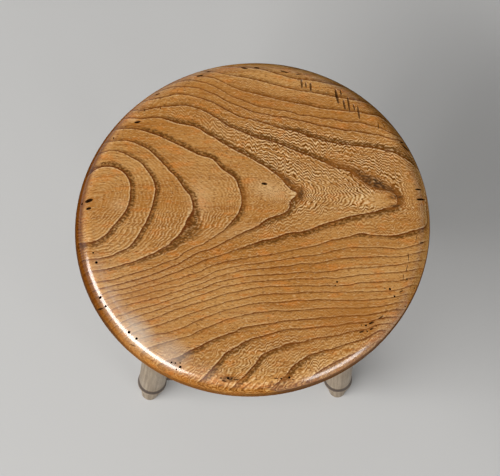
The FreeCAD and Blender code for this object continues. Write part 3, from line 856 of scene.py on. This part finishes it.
band = elm.math("MULTIPLY", rise, elm.span(band_share, 0.6, 1.0, 1.0, 0.0))
cream = elm.span(to_next, 0.0, CREAM_WIDTH, 1.0, 0.0)
print("Elm nodes with the bands:", len(elm.tree.nodes))

# %% Elm: the zigzag lines between the bands
FIGURE_PITCH = 0.0027
ZIGZAG_CYCLES = 4.5
FIGURE_COUNTS = (
    # lines in a ring, share of their own ring spacing at which they start to show
    (3, 0.4), (6, 0.5), (12, 0.5), (24, 0.5),
)

zigzag_arms = elm.noise(elm.place, (210, 45, 45), detail=1, rough=0.4)
zigzag_tips = elm.noise(elm.place, (45, 210, 210), detail=1, rough=0.4)
tip = elm.span(elm.kept("tip"), 0.55, 0.85)
arms_to_tips = elm.math("SUBTRACT", zigzag_tips, zigzag_arms)
zigzag = elm.math("MULTIPLY_ADD", arms_to_tips, tip, zigzag_arms)
cycles = elm.span(ring, 3.0, 5.0, ZIGZAG_CYCLES * 0.4, ZIGZAG_CYCLES)
wave = elm.math("MULTIPLY", elm.centred(zigzag), cycles)


def figure_lines(lines_per_ring, start_share):
    """Wavy lines between the bands, shown where the rings are as wide apart as suits them."""
    phase = elm.math("MULTIPLY_ADD", ring, lines_per_ring, wave)
    sine = elm.math("SINE", elm.math("MULTIPLY", phase, 2 * pi))
    wavy = elm.math("MULTIPLY_ADD", sine, 0.5, 0.5)
    middle = FIGURE_PITCH * lines_per_ring
    into = elm.span(spacing_here, middle * start_share, middle)
    out = elm.span(spacing_here, middle, middle * 2, 1.0, 0.0)
    return elm.math("MULTIPLY", wavy, elm.math("MULTIPLY", into, out))


waves = 0.0
for number, share in FIGURE_COUNTS:
    waves = elm.math("ADD", waves, figure_lines(number, share))
print("Elm nodes with the zigzag lines:", len(elm.tree.nodes))

# %% Elm: how strongly the figure shows
broken = elm.noise(elm.place, (280, 520, 520), detail=2)
waves = elm.math("ADD", waves, elm.math("MULTIPLY", elm.centred(broken), 0.9))
patchy = elm.span(elm.noise(elm.place, (22, 30, 30), detail=2), 0.35, 0.55, 0.6, 1.0)
strokes = elm.span(elm.noise(elm.place, (300, 300, 300), detail=1), 0.4, 0.55, 0.4, 1.0)
in_wide_rings = elm.math("MULTIPLY_ADD", wide, 0.55, 0.45)
figured_here = elm.product(figure_kept, patchy, in_wide_rings, strokes)
figure = elm.math("MULTIPLY", elm.span(waves, 0.48, 0.85), figured_here)
glow = elm.math("MULTIPLY", elm.span(waves, 0.45, 0.1), figured_here)
print("Elm nodes with the figure:", len(elm.tree.nodes))

# %% [markdown]
# ## Colour of the elm
#
# The wood runs from straw to russet in soft streaks along the grain, with small orange and cream
# flecks. Over it lie the figure, the pores and the rings, then stains and a painted sheen beside the
# left edge. Last come the rim, with its own deeper tone, painted shade and painted light, a painted
# shade on the lower edge, the raw underside and a painted shade in the holes. A painted picture
# could carry all this, but it would blur close up and be stretched over the rim. Layers in the
# material stay sharp, and they run on through the board as grain does.

# %% Elm: its colours
ELM_LIGHT = colour(190, 138, 76)
ELM_MIDDLE = colour(173, 116, 52)
ELM_RUSSET = colour(154, 93, 32)
ELM_CREAM = colour(238, 204, 152)
ELM_ORANGE = colour(198, 120, 46)
ELM_BAND = colour(102, 63, 20)
ELM_LINE = colour(98, 44, 2)
ELM_FIGURE = colour(104, 56, 7)
ELM_STAIN = colour(60, 40, 24)
# painted sheen: the pale veil for the reflection beside the left edge
ELM_PAINTED_SHEEN = colour(208, 195, 179)
# the rim's own deeper tone together with painted shade
ELM_RIM_TONE_AND_SHADE = colour(208, 191, 160)
# painted light for the back right rim
ELM_RIM_PAINTED_LIGHT = colour(88, 58, 26)
# painted shade for the upper part of the left rim
ELM_LEFT_RIM_SHADE = colour(165, 142, 103)
# painted shade for the lower edge and for the mouths of holes
ELM_PAINTED_SHADE = colour(74, 45, 22)
# painted shade deep in holes and cuts
ELM_HOLE_SHADE = colour(34, 18, 6)
ELM_UNDER = colour(124, 98, 70)
ELM_UNDER_BAND = colour(92, 70, 48)
print("Light elm to a shader:", [round(value, 3) for value in ELM_LIGHT])

# %% Elm: the plain wood
broad = elm.noise(elm.place, (9, 16, 16), detail=2)
streaks = elm.noise(elm.place, (16, 300, 300), detail=4, rough=0.65)
embers = elm.noise(elm.place, (50, 130, 130), detail=2, move=(9, 2, 4))
sparks = elm.noise(elm.place, (260, 900, 900), detail=1, move=(3, 5, 7))
wood = elm.blend(elm.span(broad, 0.35, 0.65), ELM_LIGHT, ELM_MIDDLE)
wood = elm.blend(elm.span(streaks, 0.45, 0.72, 0.0, 0.85), wood, ELM_RUSSET)
wood = elm.blend(elm.span(embers, 0.52, 0.7, 0.0, 0.6), wood, ELM_ORANGE)
sunlit = elm.math("MULTIPLY_ADD", figure_kept, 0.25, 0.3)
sunlit = elm.math("MULTIPLY", elm.span(sparks, 0.55, 0.75), sunlit)
wood = elm.blend(sunlit, wood, ELM_CREAM)
print("Elm nodes with the plain wood:", len(elm.tree.nodes))

# %% Elm: figure, pores, bands and lines
RIM_START = 0.0015
RIM_FULL = 0.007

dashes = elm.noise(elm.place, (260, 1100, 1100), detail=2)
pores = elm.noise(elm.place, (300, 480, 480), detail=2, move=(1, 8, 3))
on_top = elm.span(place_z, SEAT_TOP - RIM_FULL, SEAT_TOP - RIM_START, 0.35, 1.0)
wood = elm.blend(elm.math("MULTIPLY", glow, 0.7), wood, ELM_CREAM)
wood = elm.blend(elm.span(stained, 0.0, -1.0), wood, ELM_CREAM)
cream = elm.product(cream, elm.span(broken, 0.35, 0.6, 0.1, 0.7),
                    elm.math("MULTIPLY_ADD", wide, 0.6, 0.4))
wood = elm.blend(cream, wood, ELM_CREAM)
wood = elm.blend(elm.math("MULTIPLY", figure, 0.9), wood, ELM_FIGURE)
wood = elm.blend(elm.span(dashes, 0.56, 0.68, 0.0, 0.7), wood, ELM_FIGURE)
porous = elm.product(band, elm.span(pores, 0.4, 0.56, 0.4, 1.0),
                     elm.math("MULTIPLY_ADD", wide, 0.75, 0.25), on_top)
wood = elm.blend(porous, wood, ELM_BAND)
drawn = elm.product(elm.span(broken, 0.3, 0.55, 0.6, 1.0),
                    elm.math("MULTIPLY_ADD", bold, 0.2, 0.8), on_top)
wood = elm.blend(elm.math("MULTIPLY", ring_line, drawn), wood, ELM_LINE)
print("Elm nodes with the rings:", len(elm.tree.nodes))

# %% Elm: stains and the painted sheen
blotch = elm.product(elm.span(stained, 0.25, 1.0), elm.span(broken, 0.3, 0.6, 0.3, 1.0),
                     elm.span(pores, 0.35, 0.5, 0.65, 1.0), 0.95)
wood = elm.blend(elm.span(stained, 0.0, 0.4, 0.0, 0.45), wood, ELM_RUSSET)
wood = elm.blend(blotch, wood, ELM_STAIN)
# painted sheen: the colour is paled towards grey-white for the soft reflection beside the left edge
wood = elm.blend(elm.kept("painted_sheen"), wood, ELM_PAINTED_SHEEN)
print("Elm nodes with the stains:", len(elm.tree.nodes))

# %% Elm: the rim, its own tone, painted shade and painted light
LEFT_RIM_START = 0.0006
LEFT_RIM_FULL = 0.0035

rim = elm.span(place_z, SEAT_TOP - RIM_START, SEAT_TOP - RIM_FULL)
back_right_rim = elm.span(elm.math("ADD", place_x, place_y), 0.06, 0.14)
# the rim is darkened, partly its own deeper tone and partly painted shade; the share follows the
# light: full on the left, less on the right, none at the back right
rim_tone_and_shade_share = elm.math("MULTIPLY", elm.span(place_x, 0.02, 0.12, 1.0, 0.45),
                     elm.math("SUBTRACT", 1.0, back_right_rim))
wood = elm.blend(elm.math("MULTIPLY", rim, rim_tone_and_shade_share), wood, ELM_RIM_TONE_AND_SHADE, "MULTIPLY")
# painted light: the back right rim, turned away from the window, is lightened with a screen blend
wood = elm.blend(elm.math("MULTIPLY", rim, back_right_rim), wood, ELM_RIM_PAINTED_LIGHT, "SCREEN")
# painted shade: the upper part of the left rim, which the window lights most, is darkened
left_rim_shade = elm.math("MULTIPLY", elm.span(place_x, -0.10, -0.15),
                    elm.span(place_z, SEAT_TOP - LEFT_RIM_START, SEAT_TOP - LEFT_RIM_FULL))
wood = elm.blend(left_rim_shade, wood, ELM_LEFT_RIM_SHADE, "MULTIPLY")
print("Elm nodes with the rim:", len(elm.tree.nodes))

# %% Elm: painted shade on the lower edge and in the holes, and the underside
EDGE_START = 0.0085
EDGE_FULL = 0.0110
BACK_RIGHT_RISE = 0.0034
FRONT_LEFT_DROP = 0.0016
UNDER_START = 0.003
UNDER_FULL = 0.0003
PIT_SHADED = (0.0001, 0.0004)
PIT_DARK = (0.0005, 0.0012)

# the painted shade on the lower edge starts higher at the back right, which is turned from the
# light, and lower and weaker at the front left
back_right = elm.span(elm.math("MULTIPLY_ADD", place_x, 0.6, place_y), 0.115, 0.16)
under_top = elm.math("SUBTRACT", SEAT_TOP, place_z)
under_top = elm.math("MULTIPLY_ADD", back_right, BACK_RIGHT_RISE, under_top)
front_left = elm.span(elm.math("MULTIPLY_ADD", place_x, -0.35, to_front), 0.145, 0.165)
edge_from = elm.math("MULTIPLY_ADD", front_left, -FRONT_LEFT_DROP, under_top)
# painted shade: the lower part of the rim, turned down and away from the light, is darkened
edge = elm.math("MULTIPLY", elm.span(edge_from, EDGE_START, EDGE_FULL, 0.0, 0.85),
                elm.math("MULTIPLY_ADD", front_left, -0.35, 1.0))
wood = elm.blend(edge, wood, ELM_PAINTED_SHADE)
below = elm.span(place_z, SEAT_UNDER + UNDER_START, SEAT_UNDER + UNDER_FULL)
wood = elm.blend(below, wood, elm.blend(band, ELM_UNDER, ELM_UNDER_BAND))
# painted shade in holes and cuts: brown where they are shallow, nearly black deep inside
wood = elm.blend(elm.span(pit, *PIT_SHADED, 0.0, 0.8), wood, ELM_PAINTED_SHADE)
wood = elm.blend(elm.span(pit, *PIT_DARK), wood, ELM_HOLE_SHADE)
elm.feed(elm.shader.inputs["Base Color"], wood)
print("Elm nodes with all the colour:", len(elm.tree.nodes))

# %% [markdown]
# ## Shine and relief of the elm
#
# Years of hands and wax have left a clear, soft shine, which has worn off on the lower edge,
# underneath and in the holes. A smooth wood surface would shine too, but only wax that lies over it
# as a coat gives a clear reflection on soft wood. The pores and lines are about a tenth of a
# millimetre deep. Cutting them into the mesh would take millions of faces, so the material carries
# them as a bump.

# %% Elm: shine and relief
WOOD_IOR = 1.5
WAX_IOR = 1.6
COAT = 1.0
COAT_ROUGHNESS = 0.17
BARE_SPECULAR = 0.04
PIT_DULL = (0.0001, 0.0006)
SHINE_STOPS = (0.0044, 0.0060)
FRONT_RIGHT_MORE = 0.0075
RIGHT_LESS = 0.0030
RELIEF_DEPTH = 0.00015
RELIEF_STRENGTH = 0.7

elm.shader.inputs["IOR"].default_value = WOOD_IOR
elm.shader.inputs["Coat Roughness"].default_value = COAT_ROUGHNESS
elm.shader.inputs["Coat IOR"].default_value = WAX_IOR
worn_off = elm.math("MAXIMUM", edge, elm.span(pit, *PIT_DULL))
worn_off = elm.math("MAXIMUM", worn_off, below)
front_right = elm.span(elm.math("MULTIPLY_ADD", place_x, 0.65, to_front), 0.158, 0.176)
shine_end = elm.math("MULTIPLY_ADD", front_right, -FRONT_RIGHT_MORE, under_top)
shine_end = elm.math("MULTIPLY_ADD", elm.span(place_x, 0.09, 0.13), RIGHT_LESS, shine_end)
worn_off = elm.math("MAXIMUM", worn_off, elm.span(shine_end, *SHINE_STOPS))
coat = elm.math("MULTIPLY_ADD", worn_off, -COAT, COAT)
specular = elm.math("MULTIPLY_ADD", worn_off, -BARE_SPECULAR, BARE_SPECULAR)
roughness = elm.math("MULTIPLY_ADD", band, 0.15, 0.35)
roughness = elm.math("MULTIPLY_ADD", worn_off, 0.3, roughness)
elm.feed(elm.shader.inputs["Coat Weight"], coat)
elm.feed(elm.shader.inputs["Specular IOR Level"], specular)
elm.feed(elm.shader.inputs["Roughness"], roughness)
relief = elm.math("MULTIPLY_ADD", figure, -0.5, elm.math("MULTIPLY", ring_line, -0.6))
relief = elm.math("MULTIPLY_ADD", elm.span(dashes, 0.55, 0.7), -0.5, relief)
elm.bump(relief, RELIEF_DEPTH, RELIEF_STRENGTH)
print("Elm nodes:", len(elm.tree.nodes))

# %% The seat takes its finish
SEAT_SHARP_FROM = 40

seat.data.materials.clear()
seat.data.materials.append(elm.material)
seat.data.shade_smooth()
seat.data.set_sharp_from_angle(angle=radians(SEAT_SHARP_FROM))
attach(seat, "root")
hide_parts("seat")
print("Seat:", seat.name, "with", len(seat.data.polygons), "faces")

# %% [markdown]
# ## The turned legs
#
# A leg is turned from one billet: a plain peg foot, a groove, a ring that flares out under a
# scribed line, a long taper with a single bead high up, and the round tenon. Its outline is written
# from the floor up and spun, which is exactly what a lathe does. Sweeping a circle along a curve
# could not give the crisp steps beside the ring and the bead.

# %% Sizes of a leg, along its own axis
TOE_RADIUS = 0.0098
PEG_RADIUS = 0.0104
PEG_LENGTH = 0.032
NECK_RADIUS = 0.009
NECK_LENGTH = 0.003
RING_RADIUS = 0.0162
RING_HEIGHT = 0.045
RING_BELLY = 0.0024
FLARE_END = 0.053
SHAFT_RADIUS = 0.0149
SHAFT_SWELL = 0.0015
SCRIBE_WIDTH = 0.002
SCRIBE_DEPTH = 0.0008
BEAD_HEIGHT = 0.2052
BEAD_SECTION = 0.0026
BEAD_QUIRK = 0.0011
QUIRK_BITE = 0.0002
TENON_START = 0.2702
FOOT_SPARE = 0.0065
FOOT_EASING = 0.0008
FOOT_EASING_STEPS = 3
ARRIS = 0.0006
LEG_SPIN_STEPS = 72
print("A leg's tenon is", round(LEG_TENON_END - TENON_START, 4), "m long")


# %% Lines of a leg's outline
def bowed(start, end, bulge, step):
    """Points of a gently bowed line from start to end, without the end."""
    (near, low), (far, high) = start, end
    length = ((far - near) ** 2 + (high - low) ** 2) ** 0.5
    out = Vector((high - low, near - far)) / length
    count = max(2, round(length / step))
    shares = [number / count for number in range(count)]
    return [(near + (far - near) * share + out.x * bulge * 4 * share * (1 - share),
             low + (high - low) * share + out.y * bulge * 4 * share * (1 - share))
            for share in shares]


def shaft_radius(height):
    """Radius of the long taper at a height along the leg."""
    share = (height - FLARE_END) / (TENON_START - FLARE_END)
    straight = SHAFT_RADIUS + (LEG_TENON_RADIUS - SHAFT_RADIUS) * share
    return straight + 4 * SHAFT_SWELL * share * (1 - share)


print("Radius at the bead:", round(shaft_radius(BEAD_HEIGHT), 5), "m")

# %% The outline of a leg
PEG_STEP = 0.002
RING_STEP = 0.0008
FLARE_STEP = 0.0012
SHAFT_STEP = 0.003

quirk_step = BEAD_SECTION + BEAD_QUIRK - QUIRK_BITE
bead_radius = shaft_radius(BEAD_HEIGHT)
ring_foot = (NECK_RADIUS, PEG_LENGTH + NECK_LENGTH)
ring_top = (RING_RADIUS, RING_HEIGHT)
scribe_start = (SHAFT_RADIUS, FLARE_END - SCRIBE_WIDTH / 2)
bead_start = BEAD_HEIGHT - quirk_step - BEAD_QUIRK
bead_end = BEAD_HEIGHT + quirk_step + BEAD_QUIRK * 1.5

leg_outline = [(0, -FOOT_SPARE)]
leg_outline += bowed((TOE_RADIUS, -FOOT_SPARE), (PEG_RADIUS, PEG_LENGTH - ARRIS), 0, PEG_STEP)
leg_outline += rounded((PEG_RADIUS - ARRIS, PEG_LENGTH - ARRIS), ARRIS, 0, 90, 30)
leg_outline += [(NECK_RADIUS, PEG_LENGTH + ARRIS / 2)]
leg_outline += bowed(ring_foot, ring_top, RING_BELLY, RING_STEP)
leg_outline += bowed(ring_top, scribe_start, 0, FLARE_STEP)
leg_outline += [scribe_start]
leg_outline += [(SHAFT_RADIUS - SCRIBE_DEPTH, FLARE_END - SCRIBE_WIDTH / 4),
                (SHAFT_RADIUS - SCRIBE_DEPTH, FLARE_END + SCRIBE_WIDTH / 4)]
leg_outline += [(shaft_radius(along), along)
                for along in stepped(FLARE_END + SCRIBE_WIDTH / 2, bead_start, SHAFT_STEP)]
leg_outline += rounded((bead_radius, BEAD_HEIGHT - quirk_step), BEAD_QUIRK, 270, 120, 25)
leg_outline += rounded((bead_radius, BEAD_HEIGHT), BEAD_SECTION, -75, 75, 15)
leg_outline += rounded((bead_radius, BEAD_HEIGHT + quirk_step), BEAD_QUIRK, 240, 90, 25)
leg_outline += [(shaft_radius(along), along)
                for along in stepped(bead_end, TENON_START, SHAFT_STEP)]
leg_outline += [(LEG_TENON_RADIUS, TENON_START), (LEG_TENON_RADIUS, LEG_TENON_END - ARRIS),
                (LEG_TENON_RADIUS - ARRIS, LEG_TENON_END), (0, LEG_TENON_END)]
print("Points in a leg's outline:", len(leg_outline))

# %% [markdown]
# ## Legs in place
#
# Each leg is moved onto its leaning axis, sawn level with the floor and eased at the foot. Its
# socket for the rail and the slot for the wedge in its tenon are cut. The lean could be given to the
# object alone, but the cuts are level with the room, so the mesh itself is moved. Last, every point
# keeps its place on the leg's own axis, so that grain and the dark bands follow the leg and not the
# room.

# %% Sizes of the rail joints and the wedge slots
RAIL_HEIGHT = 0.066
RAIL_ALONG = 0.1024
RAIL_TENON_RADIUS = 0.0058
MIDDLE_TENON_RADIUS = 0.005
TENON_WEB = 0.0012
BORE_CLEAR = 0.0024
BORE_SIDES = 32
WEDGE_LENGTH = 0.014
WEDGE_THICKNESS = 0.003
WEDGE_TIP = 0.001
SLOT_ABOVE = 0.001
SLOT_BREADTH = LEG_TENON_RADIUS * 3
LIE_ALONG_X = Matrix.Rotation(radians(90), 4, "Y")
LIE_ALONG_Y = Matrix.Rotation(radians(-90), 4, "X")
print("The rails run", RAIL_HEIGHT, "m above the floor")

# %% Helpers that wear, mark and dress a turned piece
WEAR = 0.00016
WEAR_ACROSS = 60
WEAR_ALONG = 45
SEED_STEP = 7.3
ON_AXIS = 1e-5
TURNED_SHARP_FROM = 50


def handmade(shape, axis, seed):
    """Wears each point inwards by up to a sixth of a millimetre, and lays the piece on its axis."""
    for point in shape.verts:
        reach = Vector((point.co.x, point.co.y, 0))
        if reach.length < ON_AXIS:
            continue
        bump = noise.noise(Vector((point.co.x * WEAR_ACROSS, point.co.y * WEAR_ACROSS,
                                   point.co.z * WEAR_ALONG + seed * SEED_STEP)))
        point.co -= reach.normalized() * WEAR * (0.5 + 0.5 * bump)
    bmesh.ops.transform(shape, matrix=axis, verts=shape.verts)


def keep_wood(piece, axis, seed):
    """Keeps, for each point, its place on the piece's own axis, and which piece it belongs to."""
    back = np.array(axis.inverted())
    local = points_of(piece.data) @ back[:3, :3].T + back[:3, 3]
    attribute = piece.data.attributes.new("wood", "FLOAT_VECTOR", "POINT")
    attribute.data.foreach_set("vector", np.asarray(local, np.float32).ravel())
    store(piece.data, "tree", np.full(len(local), float(seed)))


def dress(piece, material, node):
    """Gives a turned piece its finish and its place in the frame."""
    piece.data.materials.clear()
    piece.data.materials.append(material)
    piece.data.shade_smooth()
    piece.data.set_sharp_from_angle(angle=radians(TURNED_SHARP_FROM))
    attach(piece, "root")
    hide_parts(node)


print("Turned pieces can be worn and dressed")


# %% How a leg is sawn and bored
def saw_foot(shape):
    """Cuts a leaning leg level with the floor and eases the new edge."""
    everything = shape.verts[:] + shape.edges[:] + shape.faces[:]
    sawn = bmesh.ops.bisect_plane(shape, geom=everything, plane_co=(0, 0, 0),
                                  plane_no=(0, 0, -1), clear_outer=True)
    foot_edge = [item for item in sawn["geom_cut"] if isinstance(item, bmesh.types.BMEdge)]
    bmesh.ops.contextual_create(shape, geom=foot_edge)
    bmesh.ops.bevel(shape, geom=foot_edge, offset=FOOT_EASING, segments=FOOT_EASING_STEPS,
                    profile=0.5, affect="EDGES", material=-1)
    bmesh.ops.recalc_face_normals(shape, faces=shape.faces)


def add_wedge_slot(cutter, matrix):
    """Adds the tapered slot that the wedge spreads, open at the end of the tenon."""
    slot = bmesh.ops.create_cube(cutter, size=1)["verts"]
    for point in slot:
        at_end = point.co.z > 0
        point.co.x *= (WEDGE_THICKNESS if at_end else WEDGE_TIP) + FIT_GAP * 2
        point.co.y *= SLOT_BREADTH
        slot_floor = LEG_TENON_END - WEDGE_LENGTH - FIT_GAP
        point.co.z = LEG_TENON_END + SLOT_ABOVE if at_end else slot_floor
    bmesh.ops.transform(cutter, matrix=matrix, verts=slot)


print("Legs can be sawn and bored")


# %% The four legs
def make_leg(place, azimuth, seed):
    """One leg, from its outline to its finished mesh."""
    axis = leg_axis(azimuth)
    shape = spun(leg_outline, LEG_SPIN_STEPS)
    handmade(shape, axis, seed)
    saw_foot(shape)
    leg = new_piece(f"turned_leg_{place}", shape)

    side_x = 1 if cos(radians(azimuth)) > 0 else -1
    side_y = 1 if sin(radians(azimuth)) > 0 else -1
    rail_line = Matrix.Translation((0, side_y * RAIL_ALONG, RAIL_HEIGHT)) @ LIE_ALONG_X
    inner = side_x * (RAIL_ALONG - RING_RADIUS - BORE_CLEAR)
    deep = side_x * (RAIL_ALONG - TENON_WEB)
    cutter = bmesh.new()
    rod(cutter, rail_line, min(inner, deep), max(inner, deep), RAIL_TENON_RADIUS + FIT_GAP,
        BORE_SIDES)
    add_wedge_slot(cutter, axis @ Matrix.Rotation(radians(-azimuth), 4, "Z"))
    carve(leg, cutter)
    keep_wood(leg, axis, seed)
    return leg


legs = [make_leg(place, azimuth, seed) for seed, (place, azimuth) in enumerate(LEG_PLACES, start=1)]
print("Faces of a leg:", [len(leg.data.polygons) for leg in legs])

# %% [markdown]
# ## Worn leg wood
#
# The legs are of a plainer, paler wood that has gone grey-brown and dry. The wood is darker in the
# groove above the peg foot, on the flare of the ring and beside the bead. Streaks laid by the room's
# own axes would run out of a leaning leg. The pattern reads each point's place on the leg's axis
# instead: fine streaks run along it, and the dark bands go by its height.


# %% Turned wood
def turned_wood(name, light, dark, darkest, dark_bands):
    """Dry turned wood. dark_bands gives heights along the axis, with their half widths, where the
    wood is darker.
    """
    finish = Finish(name)
    here = finish.kept("wood", "Vector")
    tree = finish.kept("tree")
    moved = finish.add("ShaderNodeCombineXYZ", {0: tree, 1: tree}).outputs[0]
    here_moved = finish.add("ShaderNodeVectorMath", {0: here, 1: moved}, operation="ADD").outputs[0]
    along = finish.add("ShaderNodeSeparateXYZ", {0: here}).outputs[2]
    grain = finish.noise(here_moved, (420, 420, 14), detail=4, rough=0.6)
    cloudy = finish.noise(here_moved, (40, 40, 22), detail=3)
    flecks = finish.noise(here_moved, (1500, 1500, 160), detail=1)
    plain = finish.blend(finish.span(grain, 0.3, 0.7), light, dark)
    plain = finish.blend(finish.span(cloudy, 0.45, 0.75, 0.0, 0.6), plain, dark)
    plain = finish.blend(finish.span(flecks, 0.6, 0.75, 0.0, 0.5), plain, darkest)
    banded = 0.0
    for middle, half in dark_bands:
        apart = finish.math("ABSOLUTE", finish.math("SUBTRACT", along, middle))
        dark_band = finish.span(apart, half * 0.5, half * 1.3, 1.0, 0.0)
        banded = finish.math("MAXIMUM", banded, dark_band)
    plain = finish.blend(finish.math("MULTIPLY", banded, 0.95), plain, darkest)
    finish.feed(finish.shader.inputs["Base Color"], plain)
    finish.feed(finish.shader.inputs["Roughness"], finish.span(cloudy, 0.3, 0.7, 0.42, 0.6))
    finish.bump(finish.math("ADD", grain, flecks), 0.0002, 0.5)
    return finish.material


print("Turned wood can be made")

# %% The legs take their finish
LEG_LIGHT = colour(142, 127, 107)
LEG_DARK = colour(110, 95, 76)
LEG_DARKEST = colour(50, 35, 25)
# the wood is darker in bands at these heights
LEG_DARK_BANDS = (
    # height along the leg, half width
    ((RING_HEIGHT + FLARE_END) / 2, 0.0034),
    (PEG_LENGTH + NECK_LENGTH / 2, 0.0022),
    (BEAD_HEIGHT - quirk_step, 0.0011),
    (BEAD_HEIGHT + quirk_step, 0.0011),
)

leg_wood = turned_wood("worn_leg_wood", LEG_LIGHT, LEG_DARK, LEG_DARKEST, LEG_DARK_BANDS)
for (place, azimuth), leg in zip(LEG_PLACES, legs):
    dress(leg, leg_wood, f"leg_{place}")
print("Legs:", ", ".join(leg.name for leg in legs))

# %% [markdown]
# ## The rails
#
# One rail joins the two front legs and one the two back legs, and the middle rail joins those two.
# Each is one long swelling curve between two plain tenons, spun like the legs and then laid down.
# A plain cylinder would be quicker, but a turner leaves the middle thick and brings the ends down
# to the tenon. The rails are darker than the legs, and a painted shade darkens them most near their
# ends, where they meet the legs.

# %% How a rail is made
RAIL_RADIUS = 0.009
MIDDLE_RAIL_RADIUS = 0.0085
TENON_BARE = 0.003
RAIL_SPIN_STEPS = 48
RAIL_STEP = 0.004


def make_rail(name, tenon_radius, middle_radius, shoulder, axis, seed, socket_side):
    """A rail, spun upright about its own middle and then laid on its axis."""
    half = RAIL_ALONG - TENON_WEB - END_GAP
    neck = RAIL_ALONG - shoulder - TENON_BARE
    swell = middle_radius - tenon_radius
    outline = [(0, -half), (tenon_radius - ARRIS, -half), (tenon_radius, -half + ARRIS)]
    outline += [(tenon_radius, -neck - ARRIS)]
    outline += [(tenon_radius + swell * (1 - (along / neck) ** 2), along)
                for along in stepped(-neck, neck, RAIL_STEP)]
    outline += [(tenon_radius, neck), (tenon_radius, half - ARRIS), (tenon_radius - ARRIS, half)]
    outline += [(0, half)]
    shape = spun(outline, RAIL_SPIN_STEPS)
    handmade(shape, axis, seed)
    rail = new_piece(name, shape)
    if socket_side:
        cutter = bmesh.new()
        socket_line = axis @ Matrix.Rotation(radians(-90 * socket_side), 4, "X")
        rod(cutter, socket_line, TENON_WEB, middle_radius + TENON_BARE,
            MIDDLE_TENON_RADIUS + FIT_GAP, BORE_SIDES)
        carve(rail, cutter)
    keep_wood(rail, axis, seed)
    return rail


print("A rail is", round((RAIL_ALONG - TENON_WEB - END_GAP) * 2, 4), "m long with its tenons")

# %% The three rails
RAIL_LIGHT = colour(128, 105, 82)
RAIL_DARK = colour(98, 77, 58)
RAIL_DARKEST = colour(58, 42, 30)
# painted shade: a dark band near each end of a rail, where it meets a leg under the seat
RAIL_END_SHADE_AT = 0.0885
RAIL_END_SHADE_WIDTH = 0.0065
RAILS = (
    # node, radius of the tenons, of the middle and of what they go into, place along Y, how the
    # rail lies, side of its socket
    ("rail_front", RAIL_TENON_RADIUS, RAIL_RADIUS, SHAFT_RADIUS, -RAIL_ALONG, LIE_ALONG_X, 1),
    ("rail_back", RAIL_TENON_RADIUS, RAIL_RADIUS, SHAFT_RADIUS, RAIL_ALONG, LIE_ALONG_X, -1),
    ("rail_middle", MIDDLE_TENON_RADIUS, MIDDLE_RAIL_RADIUS, RAIL_RADIUS, 0, LIE_ALONG_Y, 0),
)

# the bands near both ends of each rail are painted shade
rail_wood = turned_wood("worn_rail_wood", RAIL_LIGHT, RAIL_DARK, RAIL_DARKEST,
                        ((RAIL_END_SHADE_AT, RAIL_END_SHADE_WIDTH), (-RAIL_END_SHADE_AT, RAIL_END_SHADE_WIDTH)))
rails = []
for node, tenon_radius, middle_radius, shoulder, along_y, lie, socket_side in RAILS:
    axis = Matrix.Translation((0, along_y, RAIL_HEIGHT)) @ lie
    seed = len(legs) + len(rails) + 1
    rail = make_rail(f"turned_{node}", tenon_radius, middle_radius, shoulder, axis, seed,
                     socket_side)
    dress(rail, rail_wood, node)
    rails.append(rail)
print("Rails:", ", ".join(rail.name for rail in rails))

# %% [markdown]
# ## The hidden wedges
#
# Inside each blind socket a small wedge spreads the tenon of the leg. The wedges could be drawn
# again as meshes, but nobody sees them, and their CAD solids are right as they are. They stay and
# only get a finish: pale riven wood with its fibres upright.

# %% Riven wood for the wedges
RIVEN_LIGHT = colour(172, 142, 104)
RIVEN_DARK = colour(136, 106, 74)
RIVEN_ROUGHNESS = 0.7

riven = Finish("riven_wood")
fibres = riven.noise(riven.place, (700, 700, 30), detail=3)
riven_wood = riven.blend(riven.span(fibres, 0.3, 0.7), RIVEN_LIGHT, RIVEN_DARK)
riven.feed(riven.shader.inputs["Base Color"], riven_wood)
riven.shader.inputs["Roughness"].default_value = RIVEN_ROUGHNESS
riven.bump(fibres, 0.0002, 0.5)
for place, azimuth in LEG_PLACES:
    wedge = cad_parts[f"tenon_wedge_{place}"]
    wedge.data.materials.clear()
    wedge.data.materials.append(riven.material)
print("Wedges:", len(LEG_PLACES))
